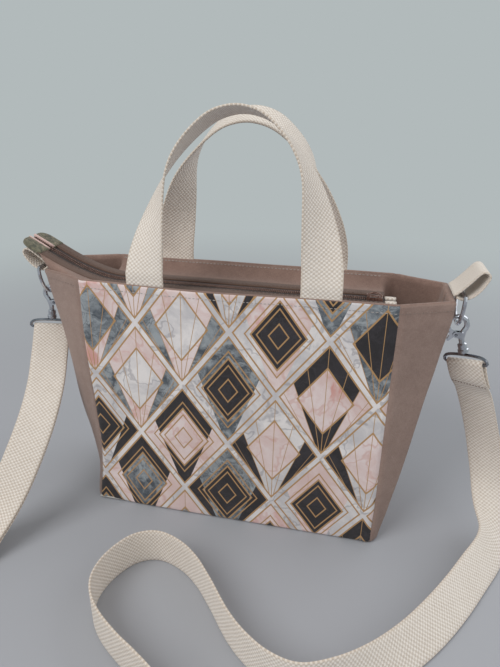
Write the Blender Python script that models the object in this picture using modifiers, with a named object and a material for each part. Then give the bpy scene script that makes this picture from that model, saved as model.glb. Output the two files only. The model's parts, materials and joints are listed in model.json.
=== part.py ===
"""Mini tote bag: printed front and back panels between plain side strips, a boxed base, a recessed
zip with a raised tail, two webbing handles and a clip-on shoulder strap with swivel trigger hooks.

+X is to the right of the printed front, -Y is the front and +Z is up. The origin is the middle of
the base, on the surface that the bag stands on. All lengths are in metres.
"""

import math

import bmesh
import bpy
import numpy as np
from mathutils import Vector

# Bag body
PANEL_WIDTH = 0.244
BAG_HEIGHT = 0.207
BASE_DEPTH = 0.100
TOP_DEPTH = 0.080
TOP_WIDTH = 0.322
SIDE_FLAT = 0.046

# Fabric layers, from the outside in
OUTER_THICK = 0.0012
FOAM_THICK = 0.0015
LINING_THICK = 0.0010
BOARD_THICK = 0.0016
GAP = 0.0003

# The curved side strips are built in this many even steps of height
WALL_STEPS = 8

# Facing round the inside of the top, and the stiff band behind it
FACING_HEIGHT = BAG_HEIGHT * 2 / WALL_STEPS
FACING_SLOPE = 0.52
BAND_HEIGHT = BAG_HEIGHT / WALL_STEPS

# Zip panel
ZIP_LEVEL = BAG_HEIGHT - 0.010
ZIP_RIGHT_END = PANEL_WIDTH / 2 - 0.009
ZIP_RISE_START = -PANEL_WIDTH / 2 + 0.020
ZIP_TAIL_END = -TOP_WIDTH / 2 - 0.022
ZIP_TAIL_RISE = 0.031
ZIP_PANEL_HALF = 0.018
ZIP_SLOT_HALF = 0.0050
ZIP_STRIP_THICK = 0.0014
TAPE_THICK = 0.0006
TAPE_HALF = 0.0120
COIL_WIDTH = 0.0022
COIL_HEIGHT = 0.0018
COIL_SPLIT = 0.0014
TAB_LENGTH = 0.017
TAB_THICK = 0.0026
TAPE_END_LENGTH = 0.0085
TAPE_END_WIDTH = 0.0050

# Zip slider
SLIDER_LENGTH = 0.0120
SLIDER_WIDTH = 0.0082
SLIDER_PLATE = 0.0010
SLIDER_POST = 0.0008
BRIDGE_WIRE = 0.0010
BRIDGE_RISE = 0.0036
PULL_LENGTH = 0.0092
PULL_WIDTH = 0.0068
PULL_WIRE = 0.0011

# Webbing
WEB_WIDTH = 0.030
HANDLE_THICK = 0.0017
STRAP_THICK = 0.0016
LOOP_THICK = 0.0015
STRAP_FOLD = 0.020

# Handles
HANDLE_SPACING = 0.134
HANDLE_RISE = 0.123
HANDLE_STUB = 0.0052
HANDLE_CLEAR = 0.0008
FRONT_LEAN = 15.0
BACK_LEAN = 5.0
BACK_DROP = 0.007

# D-rings: the place of each bar beside the bag, how far out and how high
RING_WIRE = 0.0030
RING_INNER_WIDTH = WEB_WIDTH + 0.0024
RING_INNER_DROP = 0.0225
RING_CORNER = 0.0022
RING_OUT = {"right": TOP_WIDTH / 2 + 0.0067, "left": TOP_WIDTH / 2 + 0.0085}
RING_LEVEL = {"right": BAG_HEIGHT + 0.0015, "left": BAG_HEIGHT - 0.0010}

# Swivel trigger hooks: where along its ring each hangs, its lean, its eye's turn and its slack
HOOK_SIDE = {"right": 0.007, "left": 0.004}
HOOK_LEAN = {"right": 19.0, "left": 8.0}
EYE_TURN = {"right": -40.0, "left": 25.0}
CLAW_SEAT = {"right": 0.0008, "left": 0.0022}
CLAW_RADIUS = 0.0065
CLAW_WIRE = 0.0036
CLAW_HEIGHT = 0.0232
GATE_THICK = 0.0020
LUG_THICK = 0.0012
LUG_RADIUS = 0.0022
GATE_PIVOT = (-0.0030, 0.0160)
BARREL_RADIUS = 0.0040
BARREL_HEIGHT = 0.0070
POST_RADIUS = 0.0013
POST_HEAD = 0.0010
SWIVEL_GAP = 0.00030
PIVOT_RADIUS = 0.0009
EYE_WIRE = 0.0025
EYE_INNER_WIDTH = WEB_WIDTH + 0.0030
EYE_SQUARENESS = 0.667
EYE_DROP = 0.0092

# Strap slider, which lies on the surface past the left end of the bag
GLIDE_WIRE = 0.0024
GLIDE_LENGTH = 0.0240
GLIDE_PLACE = (-0.190, -0.163)
GLIDE_HEADING = (-0.25, -0.97)

# Smoothness of the round pieces and the webbing
TURNED_STEPS = 24
WIRE_SIDES = 3
HANDLE_ROWS = 41
LOOP_ROWS = 30
STRAP_STEP = 0.010
WEAVE_STEPS = 6
BAR_TURN_STEPS = 14


def clear_scene():
    """Remove every object that the file opened with."""
    for old in list(bpy.data.objects):
        bpy.data.objects.remove(old, do_unlink=True)


def collection(name):
    """A collection in the scene."""
    new = bpy.data.collections.new(name)
    bpy.context.scene.collection.children.link(new)
    return new


def material(name, colour, roughness, metallic=0.0):
    """A Principled material, shared by every piece that is made of it."""
    found = bpy.data.materials.get(name)
    if found:
        return found
    new = bpy.data.materials.new(name)
    new.use_nodes = True
    shader = new.node_tree.nodes["Principled BSDF"]
    shader.inputs["Base Color"].default_value = (*colour, 1.0)
    shader.inputs["Roughness"].default_value = roughness
    shader.inputs["Metallic"].default_value = metallic
    new.diffuse_color = (*colour, 1.0)
    return new


def print_cotton():
    return material("print_cotton", (0.42, 0.38, 0.37), 0.85)


def taupe_canvas():
    return material("taupe_canvas", (0.26, 0.19, 0.165), 0.90)


def brown_canvas():
    return material("brown_canvas", (0.13, 0.085, 0.06), 0.90)


def marbled_cotton():
    return material("marbled_cotton", (0.20, 0.23, 0.20), 0.85)


def lining_cotton():
    return material("lining_cotton", (0.55, 0.48, 0.42), 0.90)


def foam():
    return material("foam", (0.75, 0.74, 0.72), 0.95)


def board_plastic():
    return material("board_plastic", (0.80, 0.80, 0.78), 0.50)


def cream_webbing():
    return material("cream_webbing", (0.68, 0.61, 0.48), 0.92)


def zip_nylon():
    return material("zip_nylon", (0.06, 0.03, 0.022), 0.45)


def brown_enamel():
    return material("brown_enamel", (0.12, 0.06, 0.04), 0.35, 0.6)


def nickel():
    return material("nickel", (0.42, 0.42, 0.43), 0.22, 1.0)


def dark_steel():
    return material("dark_steel", (0.10, 0.10, 0.105), 0.35, 1.0)


def add_mesh(name, mesh, skin, parent=None, smooth=False):
    """An object in the parts collection, placed under its parent if it has one."""
    piece = bpy.data.objects.new(name, mesh)
    PARTS.objects.link(piece)
    mesh.materials.clear()
    mesh.materials.append(skin)
    if smooth:
        mesh.shade_smooth()
        mesh.set_sharp_from_angle(angle=math.radians(40))
    if parent:
        piece.parent = parent
    return piece


def mesh_from_bmesh(name, bm):
    """A closed mesh with its faces pointing out."""
    bmesh.ops.recalc_face_normals(bm, faces=bm.faces)
    if bm.calc_volume(signed=True) < 0:
        bmesh.ops.reverse_faces(bm, faces=bm.faces)
    mesh = bpy.data.meshes.new(name)
    bm.to_mesh(mesh)
    bm.free()
    return mesh


def is_twisted(face):
    """Whether a four-cornered face is out of flat."""
    first, second, third, fourth = [corner.co for corner in face.verts]
    square = (second - first).cross(third - first)
    if square.length < 1e-12:
        return False
    return abs(square.normalized().dot(fourth - first)) > 1e-6


def split_twisted(bm):
    """Split the faces that are out of flat, so that neighbouring layers bend alike."""
    twisted = [face for face in bm.faces if len(face.verts) == 4 and is_twisted(face)]
    bmesh.ops.triangulate(bm, faces=twisted, quad_method="SHORT_EDGE")


def add_loft(bm, rings, closed_path=False):
    """Skin a row of closed rings of points, and cap both ends unless the path closes."""
    rows = [[bm.verts.new(point) for point in ring] for ring in rings]
    size = len(rows[0])
    steps = len(rows) if closed_path else len(rows) - 1
    for row in range(steps):
        near = rows[row]
        far = rows[(row + 1) % len(rows)]
        for i in range(size):
            j = (i + 1) % size
            bm.faces.new((near[i], near[j], far[j], far[i]))
    if not closed_path:
        bm.faces.new(rows[0])
        bm.faces.new(rows[-1])
    split_twisted(bm)


def loft(name, rings, skin, parent=None, closed_path=False, smooth=False):
    """A solid lofted through rings of points."""
    bm = bmesh.new()
    add_loft(bm, rings, closed_path)
    return add_mesh(name, mesh_from_bmesh(name, bm), skin, parent, smooth)


def smooth_rows(knots, count):
    """Rows along a smooth curve through the knots, whose first three numbers are evenly spaced.

    A knot is a place, and may carry more numbers, which vary smoothly with it."""
    knots = np.array([[float(value) for value in knot] for knot in knots])
    padded = np.vstack([2 * knots[0] - knots[1], knots, 2 * knots[-1] - knots[-2]])
    fine = []
    for i in range(1, len(padded) - 2):
        a, b, c, d = padded[i - 1:i + 3]
        for t in np.linspace(0.0, 1.0, 16, endpoint=False):
            fine.append(0.5 * (2 * b + (c - a) * t + (2 * a - 5 * b + 4 * c - d) * t * t
                               + (3 * b - a - 3 * c + d) * t ** 3))
    fine.append(knots[-1])
    fine = np.array(fine)
    steps = np.linalg.norm(np.diff(fine[:, :3], axis=0), axis=1)
    marks = np.concatenate([[0.0], np.cumsum(steps)])
    goals = np.linspace(0.0, marks[-1], count)
    return np.array([np.interp(goals, marks, column) for column in fine.T]).T


def tangents(points):
    """The direction of a line of points at each of them."""
    result = []
    for i in range(len(points)):
        before = points[max(i - 1, 0)]
        after = points[min(i + 1, len(points) - 1)]
        result.append((after - before).normalized())
    return result


def ribbon_rings(points, sides, width, thick):
    """Four-cornered sections of a flat webbing, each square to its line.

    sides are the directions of the webbing's width, made square to the line here. thick is one
    number, or one for each point."""
    rings = []
    thicks = thick if isinstance(thick, list) else [thick] * len(points)
    for point, along, side, deep in zip(points, tangents(points), sides, thicks):
        across = (side - along * side.dot(along)).normalized() * (width / 2)
        through = along.cross(across).normalized() * (deep / 2)
        rings.append([point + across + through, point - across + through,
                      point - across - through, point + across - through])
    return rings


def box_rings(low, high):
    """Two rings that make a box when they are skinned."""
    rings = []
    for z in (low[2], high[2]):
        rings.append([Vector((low[0], low[1], z)), Vector((high[0], low[1], z)),
                      Vector((high[0], high[1], z)), Vector((low[0], high[1], z))])
    return rings


def wire(name, points, diameter, skin, parent=None, cyclic=False, radii=None):
    """A round wire along a line of points, with filled ends where it is open."""
    curve = bpy.data.curves.new(name, "CURVE")
    curve.dimensions = "3D"
    curve.bevel_depth = diameter / 2
    curve.bevel_resolution = WIRE_SIDES - 1
    curve.use_fill_caps = not cyclic
    spline = curve.splines.new("POLY")
    spline.points.add(len(points) - 1)
    spline.use_cyclic_u = cyclic
    for i, point in enumerate(points):
        spline.points[i].co = (*point, 1.0)
        spline.points[i].radius = radii[i] if radii else 1.0
    curve.materials.append(skin)
    piece = bpy.data.objects.new(name, curve)
    PARTS.objects.link(piece)
    if parent:
        piece.parent = parent
    return piece


def solid_from_curve(piece):
    """The same piece as a welded mesh, so that it can be joined or cut."""
    bpy.context.view_layer.update()
    graph = bpy.context.evaluated_depsgraph_get()
    mesh = bpy.data.meshes.new_from_object(piece.evaluated_get(graph))
    bm = bmesh.new()
    bm.from_mesh(mesh)
    bmesh.ops.remove_doubles(bm, verts=bm.verts, dist=1e-6)
    bmesh.ops.recalc_face_normals(bm, faces=bm.faces)
    bm.to_mesh(mesh)
    bm.free()
    name = piece.name
    matrix = piece.matrix_world.copy()
    parent = piece.parent
    bpy.data.objects.remove(piece, do_unlink=True)
    solid = bpy.data.objects.new(name, mesh)
    PARTS.objects.link(solid)
    if parent:
        solid.parent = parent
    solid.matrix_world = matrix
    return solid


def turned(name, profile, skin, parent=None, closed=False):
    """A solid of revolution about local Z. The profile is (radius, height) from top to bottom."""
    mesh = bpy.data.meshes.new(name)
    edges = [(i, i + 1) for i in range(len(profile) - 1)]
    if closed:
        edges.append((len(profile) - 1, 0))
    mesh.from_pydata([(radius, 0.0, height) for radius, height in profile], edges, [])
    piece = add_mesh(name, mesh, skin, parent)
    spin = piece.modifiers.new("turn", "SCREW")
    spin.angle = math.tau
    spin.steps = TURNED_STEPS
    spin.render_steps = TURNED_STEPS
    spin.use_merge_vertices = True
    spin.merge_threshold = 0.00001
    return piece


def flat_plate(name, outline, thick, skin, parent=None, holes=()):
    """A plate cut from a flat outline in local XZ, thick along Y, centred on Y = 0."""
    curve = bpy.data.curves.new(name, "CURVE")
    curve.dimensions = "2D"
    curve.fill_mode = "BOTH"
    curve.extrude = thick / 2
    for loop in (outline, *holes):
        spline = curve.splines.new("POLY")
        spline.points.add(len(loop) - 1)
        spline.use_cyclic_u = True
        for i, (x, z) in enumerate(loop):
            spline.points[i].co = (x, z, 0.0, 1.0)
    curve.materials.append(skin)
    piece = bpy.data.objects.new(name, curve)
    PARTS.objects.link(piece)
    if parent:
        piece.parent = parent
    piece.rotation_euler = (math.radians(90), 0, 0)
    return piece


def join_bodies(target, others):
    """Fuse other solids into the target, and leave one closed body."""
    for number, other in enumerate(others):
        fuse = target.modifiers.new(f"fuse_{number}", "BOOLEAN")
        fuse.operation = "UNION"
        fuse.object = other
        PARTS.objects.unlink(other)
        CUTTERS.objects.link(other)
        other.hide_render = True
        other.display_type = "WIRE"


def arc(centre, radius, start, end, steps):
    """Flat points on an arc, angles in degrees, from start to end."""
    points = []
    for i in range(steps + 1):
        angle = math.radians(start + (end - start) * i / steps)
        points.append((centre[0] + radius * math.cos(angle), centre[1] + radius * math.sin(angle)))
    return points


LINING_INSET = OUTER_THICK + GAP + FOAM_THICK + GAP
BAND_INSET = OUTER_THICK + GAP
BOARD_LEVEL = OUTER_THICK + GAP
FLOOR_LEVEL = BOARD_LEVEL + BOARD_THICK + GAP
LINING_TOP = BAG_HEIGHT - FACING_HEIGHT - GAP


def share(z):
    """How far up the bag a height is, from 0 at the base to 1 at the rim."""
    return z / BAG_HEIGHT


def body_corners(z):
    """The outer corners of the bag at one height, anticlockwise from the front left panel edge."""
    up = share(z)
    panel = PANEL_WIDTH / 2
    half_depth = (BASE_DEPTH + (TOP_DEPTH - BASE_DEPTH) * up) / 2
    side = panel + (TOP_WIDTH / 2 - panel) * up
    fold = SIDE_FLAT / 2
    return [Vector((-panel, -half_depth)), Vector((panel, -half_depth)), Vector((side, -fold)),
            Vector((side, 0.0)), Vector((side, fold)), Vector((panel, half_depth)),
            Vector((-panel, half_depth)), Vector((-side, fold)), Vector((-side, 0.0)),
            Vector((-side, -fold))]


FRONT_LEFT, FRONT_RIGHT, RIGHT_FRONT_FOLD, RIGHT_SEAM, RIGHT_BACK_FOLD = range(5)
BACK_RIGHT, BACK_LEFT, LEFT_BACK_FOLD, LEFT_SEAM, LEFT_FRONT_FOLD = range(5, 10)


def inset_corners(z, inset):
    """The bag's corners moved inward by one distance, square to each side."""
    corners = body_corners(z)
    count = len(corners)
    result = []
    for i, corner in enumerate(corners):
        before = (corner - corners[i - 1]).normalized()
        after = (corners[(i + 1) % count] - corner).normalized()
        normal_before = Vector((-before.y, before.x))
        normal_after = Vector((-after.y, after.x))
        middle = (normal_before + normal_after).normalized()
        result.append(corner + middle * (inset / middle.dot(normal_after)))
    return result


def body_path(first, last, z, inset):
    """Points along the wall between two corners, drawn back half a gap at both ends."""
    corners = inset_corners(z, inset)
    count = (last - first) % len(corners)
    path = [corners[(first + i) % len(corners)] for i in range(count + 1)]
    path[0] = path[0] + (path[1] - path[0]).normalized() * (GAP / 2)
    path[-1] = path[-1] + (path[-2] - path[-1]).normalized() * (GAP / 2)
    return path


def wall_heights(low, high):
    """The heights of the wall's steps that lie between two heights, with both of those."""
    steps = [0.0, FLOOR_LEVEL] + [BAG_HEIGHT * i / WALL_STEPS for i in range(1, WALL_STEPS + 1)]
    margin = 0.0015
    return [low] + [z for z in steps if low + margin < z < high - margin] + [high]


def wall_piece(name, first, last, skin):
    """One outer panel of the bag, from the base to the rim, between two seams."""
    rings = []
    for z in wall_heights(0.0, BAG_HEIGHT):
        outer = body_path(first, last, z, 0.0)
        inner = body_path(first, last, z, OUTER_THICK)
        flat = outer + list(reversed(inner))
        rings.append([Vector((p.x, p.y, z)) for p in flat])
    return loft(name, rings, skin)


def wall_ring(z, inset):
    """The closed line round the bag at one height and inset."""
    return [Vector((p.x, p.y, z)) for p in inset_corners(z, inset)]


def band(name, inset, thick, low, high, skin):
    """A closed band that runs round inside the bag between two heights."""
    heights = wall_heights(low, high)
    rings = [wall_ring(z, inset) for z in heights]
    rings += [wall_ring(z, inset + thick) for z in reversed(heights)]
    return loft(name, rings, skin, closed_path=True)


def slab(name, inset, low, thick, skin):
    """A flat sheet that covers the base between the walls."""
    rings = []
    for z in (low, low + thick):
        rings.append([Vector((p.x, p.y, z)) for p in inset_corners(0.0, inset)])
    return loft(name, rings, skin)


def lining_bag():
    """The lining: a cup whose floor lies on the base board and whose walls stop at the facing."""
    rings = [wall_ring(z, LINING_INSET) for z in wall_heights(FLOOR_LEVEL, LINING_TOP)]
    inner = wall_heights(FLOOR_LEVEL + LINING_THICK, LINING_TOP)
    rings += [wall_ring(z, LINING_INSET + LINING_THICK) for z in reversed(inner)]
    return loft("lining", rings, lining_cotton())


def zip_height(x):
    """The top of the zip panel: level, then rising over the left rim to the tail."""
    run = ZIP_RISE_START - ZIP_TAIL_END
    along = (ZIP_RISE_START - x) / run
    if along <= 0:
        return ZIP_LEVEL
    return ZIP_LEVEL + ZIP_TAIL_RISE * along * along * (1.55 - 0.55 * along)


def facing_columns(outward):
    """Top to bottom lines of half the facing, from the left seam to the right one.

    At the sides they follow the walls. Between them they slope in to the edge of the zip panel."""
    heights = wall_heights(LINING_TOP + GAP, BAG_HEIGHT)
    heights.reverse()
    seam = outward * GAP / 2

    def wall_column(corner):
        line = []
        for z in heights:
            point = inset_corners(z, LINING_INSET)[corner]
            line.append(Vector((point.x, seam if corner in (LEFT_SEAM, RIGHT_SEAM) else point.y, z)))
        return line

    def zip_column(x):
        rim = Vector((x, inset_corners(BAG_HEIGHT, LINING_INSET)[corners[2]].y, BAG_HEIGHT))
        edge = Vector((x, outward * (ZIP_PANEL_HALF + GAP + FACING_SLOPE * LINING_THICK),
                       ZIP_LEVEL - ZIP_STRIP_THICK))
        return [rim.lerp(edge, i / (len(heights) - 1)) for i in range(len(heights))]

    if outward < 0:
        corners = [LEFT_SEAM, LEFT_FRONT_FOLD, FRONT_LEFT, FRONT_RIGHT, RIGHT_FRONT_FOLD, RIGHT_SEAM]
    else:
        corners = [LEFT_SEAM, LEFT_BACK_FOLD, BACK_LEFT, BACK_RIGHT, RIGHT_BACK_FOLD, RIGHT_SEAM]
    left = [wall_column(corner) for corner in corners[:3]]
    right = [wall_column(corner) for corner in corners[3:]]
    middle = [zip_column(x) for x in (-ZIP_RIGHT_END - 0.004, -ZIP_RIGHT_END + 0.004, 0.0,
                                      ZIP_RIGHT_END - 0.010, ZIP_RIGHT_END - 0.001)]
    return left + middle + right


def facing(name, outward):
    """Half of the inner facing, a sheet of cloth that is thickened towards the inside."""
    bm = bmesh.new()
    columns = [[bm.verts.new(point) for point in column] for column in facing_columns(outward)]
    for left, right in zip(columns, columns[1:]):
        for i in range(len(left) - 1):
            bm.faces.new((left[i], left[i + 1], right[i + 1], right[i]))
    split_twisted(bm)
    bmesh.ops.recalc_face_normals(bm, faces=bm.faces)
    broadest = max(bm.faces, key=lambda face: face.calc_area())
    if broadest.normal.y * outward > 0:
        bmesh.ops.reverse_faces(bm, faces=bm.faces)
    mesh = bpy.data.meshes.new(name)
    bm.to_mesh(mesh)
    bm.free()
    piece = add_mesh(name, mesh, taupe_canvas())
    cloth = piece.modifiers.new("cloth", "SOLIDIFY")
    cloth.thickness = LINING_THICK
    cloth.offset = 1.0


def build_body():
    """The outer panels, the stiff layers and the lining."""
    wall_piece("front_panel", FRONT_LEFT, FRONT_RIGHT, print_cotton())
    wall_piece("front_strip_right", FRONT_RIGHT, RIGHT_SEAM, taupe_canvas())
    wall_piece("back_strip_right", RIGHT_SEAM, BACK_RIGHT, taupe_canvas())
    wall_piece("back_panel", BACK_RIGHT, BACK_LEFT, print_cotton())
    wall_piece("back_strip_left", BACK_LEFT, LEFT_SEAM, taupe_canvas())
    wall_piece("front_strip_left", LEFT_SEAM, FRONT_LEFT, taupe_canvas())
    slab("base_panel", OUTER_THICK + GAP, 0.0, OUTER_THICK, taupe_canvas())
    slab("base_board", OUTER_THICK + 2 * GAP, BOARD_LEVEL, BOARD_THICK, board_plastic())
    foam_top = BAG_HEIGHT - BAND_HEIGHT - GAP
    band("foam_interlining", BAND_INSET, FOAM_THICK, FLOOR_LEVEL, foam_top, foam())
    band("rim_band", BAND_INSET, FOAM_THICK, BAG_HEIGHT - BAND_HEIGHT, BAG_HEIGHT - GAP, foam())
    lining_bag()
    facing("facing_front", -1)
    facing("facing_back", 1)


def zip_stations(start, end):
    """Places along the zip where its panel bends, from start to end."""
    bends = [ZIP_RISE_START + (ZIP_TAIL_END - ZIP_RISE_START) * i / 8 for i in range(9)]
    low, high = min(start, end), max(start, end)
    return [low] + sorted(x for x in bends if low + 0.001 < x < high - 0.001) + [high]


def zip_rings(start, end, near, far, drop, thick):
    """Rings of a strip that follows the zip between two distances from its middle line."""
    rings = []
    for x in zip_stations(start, end):
        ahead = Vector((0.001, 0, zip_height(x + 0.001) - zip_height(x))).normalized()
        down = Vector((ahead.z, 0, -ahead.x))
        top = Vector((x, 0, zip_height(x))) + down * drop
        low = top + down * thick
        rings.append([Vector((top.x, near, top.z)), Vector((top.x, far, top.z)),
                      Vector((low.x, far, low.z)), Vector((low.x, near, low.z))])
    return rings


def build_zip():
    """The zip panel: cloth strips, tapes, coils, tail tabs and the two tape ends."""
    tail = ZIP_TAIL_END + TAB_LENGTH
    tape_drop = ZIP_STRIP_THICK + GAP
    for word, sign in (("front", -1), ("back", 1)):
        outer = sign * ZIP_PANEL_HALF
        inner = sign * ZIP_SLOT_HALF
        strip = zip_rings(tail + GAP, ZIP_RIGHT_END, inner, outer, 0.0, ZIP_STRIP_THICK)
        loft(f"zip_strip_{word}", strip, brown_canvas())
        split = sign * COIL_SPLIT / 2
        tape = zip_rings(tail + GAP, ZIP_RIGHT_END, split, sign * TAPE_HALF, tape_drop, TAPE_THICK)
        loft(f"zip_tape_{word}", tape, zip_nylon())
        coil = zip_rings(tail + GAP, ZIP_RIGHT_END, split, split + sign * COIL_WIDTH,
                         tape_drop - GAP - COIL_HEIGHT, COIL_HEIGHT)
        loft(f"zip_coil_{word}", coil, zip_nylon())
        tab = zip_rings(ZIP_TAIL_END, tail, sign * (COIL_SPLIT / 2 + 0.0010), outer,
                        -(TAB_THICK - ZIP_STRIP_THICK) / 2, TAB_THICK)
        loft(f"zip_tail_tab_{word}", tab, marbled_cotton())
        middle = sign * (COIL_SPLIT / 2 + 0.0020 + TAPE_END_WIDTH / 2)
        low = (ZIP_RIGHT_END + GAP, middle - TAPE_END_WIDTH / 2, ZIP_LEVEL - tape_drop - 0.0008)
        high = (ZIP_RIGHT_END + GAP + TAPE_END_LENGTH, middle + TAPE_END_WIDTH / 2, ZIP_LEVEL - 0.0002)
        loft(f"zip_tape_end_{word}", box_rings(low, high), cream_webbing())


def build_slider():
    """The zip slider, with its divider, bridge and oval pull."""
    coil_top = ZIP_LEVEL - ZIP_STRIP_THICK + COIL_HEIGHT
    tape_top = ZIP_LEVEL - ZIP_STRIP_THICK - GAP
    tape_low = tape_top - TAPE_THICK
    right = ZIP_RIGHT_END - 0.0015
    left = right - SLIDER_LENGTH
    half = SLIDER_WIDTH / 2
    top_low = coil_top + GAP
    top_high = top_low + SLIDER_PLATE
    base_high = tape_low - GAP
    base_low = base_high - SLIDER_PLATE
    post = SLIDER_POST / 2
    flange = SLIDER_PLATE * 0.8
    lip = tape_top + GAP + 0.0002
    section = [(-half, base_low), (half, base_low), (half, base_high), (post, base_high),
               (post, top_low), (half - flange, top_low), (half - flange, lip), (half, lip),
               (half, top_high), (-half, top_high), (-half, lip), (-half + flange, lip),
               (-half + flange, top_low), (-post, top_low), (-post, base_high), (-half, base_high)]
    rings = []
    for x in (left, right):
        rings.append([Vector((x, y, z)) for y, z in section])
    slider = loft("zip_slider", rings, brown_enamel())
    bridge_points = []
    middle = (left + right) / 2
    span = SLIDER_LENGTH / 2 - BRIDGE_WIRE
    for i in range(13):
        angle = math.pi * i / 12
        bridge_points.append(Vector((middle + span * math.cos(angle), 0,
                                     top_high - BRIDGE_WIRE / 2 + BRIDGE_RISE * math.sin(angle))))
    bridge = wire("zip_slider_bridge", bridge_points, BRIDGE_WIRE, brown_enamel())
    join_bodies(slider, [solid_from_curve(bridge)])
    pivot = Vector((middle + span - 0.0020, 0, top_high + GAP + PULL_WIRE / 2))
    holder = bpy.data.objects.new("zip_pull_pivot", None)
    PARTS.objects.link(holder)
    holder.location = pivot
    ring = []
    for i in range(28):
        angle = math.tau * i / 28
        ring.append(Vector((-PULL_LENGTH / 2 + PULL_LENGTH / 2 * math.cos(angle),
                            PULL_WIDTH / 2 * math.sin(angle), 0)))
    wire("zip_pull", ring, PULL_WIRE, brown_enamel(), holder, cyclic=True)


HANDLE_INSET = BAND_INSET + FOAM_THICK / 2


def handle_knots():
    """One side of the handle arch from its pivot to its top: (out, up, turn in degrees)."""
    half = HANDLE_SPACING / 2
    return [(half, 0.0, 0.0), (half - 0.001, 0.016, 12.0), (half - 0.005, 0.042, 38.0),
            (half - 0.013, 0.074, 68.0), (half - 0.025, 0.096, 82.0), (half - 0.043, 0.1145, 88.0),
            (half - 0.059, HANDLE_RISE - 0.0012, 90.0)]


def handle_arch(outward, roll_top):
    """Centre points and width directions of a handle that stands upright over its pivot line.

    outward is -1 for the front handle and 1 for the back one. Each leg turns from flat against
    the bag to edge-on at the top, with its inner edge going outward."""
    leg = handle_knots()
    knots = [(-out, 0.0, up, turn) for out, up, turn in leg]
    knots += [(out, 0.0, up, 180.0 - turn) for out, up, turn in reversed(leg)]
    points = []
    sides = []
    for x, y, z, turn in smooth_rows(knots, HANDLE_ROWS):
        points.append(Vector((x, y, z)))
        turn = math.radians(turn)
        tilt = math.radians(roll_top) * math.sin(turn) ** 2
        sides.append(Vector((math.cos(turn), outward * math.sin(turn),
                             -outward * math.sin(tilt) * math.sin(turn))))
    return points, sides


def build_handle(word, outward, lean, drop, roll_top):
    """One handle: the arch on its pivot line, and the sewn ends that come out of the rim."""
    pivot_y = outward * (TOP_DEPTH / 2 - HANDLE_INSET)
    pivot_z = BAG_HEIGHT + HANDLE_STUB + HANDLE_CLEAR + HANDLE_THICK / 2
    holder = bpy.data.objects.new(f"handle_{word}_pivot", None)
    PARTS.objects.link(holder)
    holder.location = (0, pivot_y, pivot_z)
    holder.rotation_euler = (math.radians(outward * lean), 0, 0)
    points, sides = handle_arch(outward, roll_top)
    scale = 1.0 - drop / HANDLE_RISE
    points = [Vector((p.x, p.y, p.z * scale)) for p in points]
    points, sides, thicks = round_nosed(points, sides)
    loft(f"handle_{word}", ribbon_rings(points, sides, WEB_WIDTH, thicks), cream_webbing(), holder)
    for end_word, side in (("left", -1), ("right", 1)):
        x = side * HANDLE_SPACING / 2
        low = (x - WEB_WIDTH / 2, pivot_y - FOAM_THICK / 2, BAG_HEIGHT)
        high = (x + WEB_WIDTH / 2, pivot_y + FOAM_THICK / 2, BAG_HEIGHT + HANDLE_STUB)
        loft(f"handle_{word}_end_{end_word}", box_rings(low, high), cream_webbing())


def round_nosed(points, sides):
    """The handle's line with a half round at both ends, so that it turns clear of its seat."""
    radius = HANDLE_THICK / 2
    angles = [math.radians(a) for a in (16, 40, 65)]
    lower = [-radius * math.cos(a) for a in angles]
    first = [points[0] + Vector((0, 0, z)) for z in lower]
    last = [points[-1] + Vector((0, 0, z)) for z in reversed(lower)]
    nose = [HANDLE_THICK * math.sin(a) for a in angles]
    count = len(angles)
    sides = [sides[0]] * count + sides + [sides[-1]] * count
    return first + points + last, sides, nose + [HANDLE_THICK] * len(points) + nose[::-1]


def loop_knots(word):
    """The loop's line from the rim, under the ring's bar, round the fold and back: (out, up)."""
    side = TOP_WIDTH / 2
    level = BAG_HEIGHT + GAP
    bar_x = RING_OUT[word]
    under = RING_LEVEL[word] - RING_WIRE / 2 - GAP - LOOP_THICK / 2
    start = [(side + 0.0011, level), (bar_x - 0.0035, under + 0.0006), (bar_x, under)]
    if word == "right":
        reach = [(0.0058, 0.0030), (0.0098, 0.0075), (0.0131, 0.0135), (0.0145, 0.0180),
                 (0.0120, 0.0208), (0.0083, 0.0202), (0.0025, 0.0132), (-0.0035, 0.0062)]
    else:
        reach = [(0.0060, 0.0024), (0.0105, 0.0066), (0.0137, 0.0111), (0.0143, 0.0150),
                 (0.0115, 0.0170), (0.0075, 0.0160), (0.0005, 0.0111), (-0.0055, 0.0064)]
    bend = [(bar_x + out, under + up) for out, up in reach]
    return start + bend + [(side - 0.0012, level + 0.0011)]


def loop_rings(word, sign):
    """The webbing loop at one side seam: a folded band that holds the D-ring's bar."""
    rows = smooth_rows([(sign * x, 0.0, z) for x, z in loop_knots(word)], LOOP_ROWS)
    points = [Vector(row) for row in rows]
    return ribbon_rings(points, [Vector((0, 1, 0))] * len(points), WEB_WIDTH, LOOP_THICK)


def ring_outline():
    """Half width, drop: the closed line of a D-ring, bar on top, in its own YZ plane."""
    half = (RING_INNER_WIDTH + RING_WIRE) / 2
    drop = RING_INNER_DROP + RING_WIRE
    corner = RING_CORNER
    points = [(-half + corner, 0.0), (half - corner, 0.0)]
    points += [(half - corner + corner * math.sin(a), -corner + corner * math.cos(a))
               for a in (math.radians(30), math.radians(60), math.radians(90))]
    for i in range(1, 20):
        angle = math.pi * i / 20
        points.append((half * math.cos(angle), -corner - (drop - corner) * math.sin(angle)))
    points += [(-half + corner - corner * math.cos(a), -corner + corner * math.sin(a))
               for a in (math.radians(0), math.radians(30), math.radians(60))]
    return points


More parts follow.
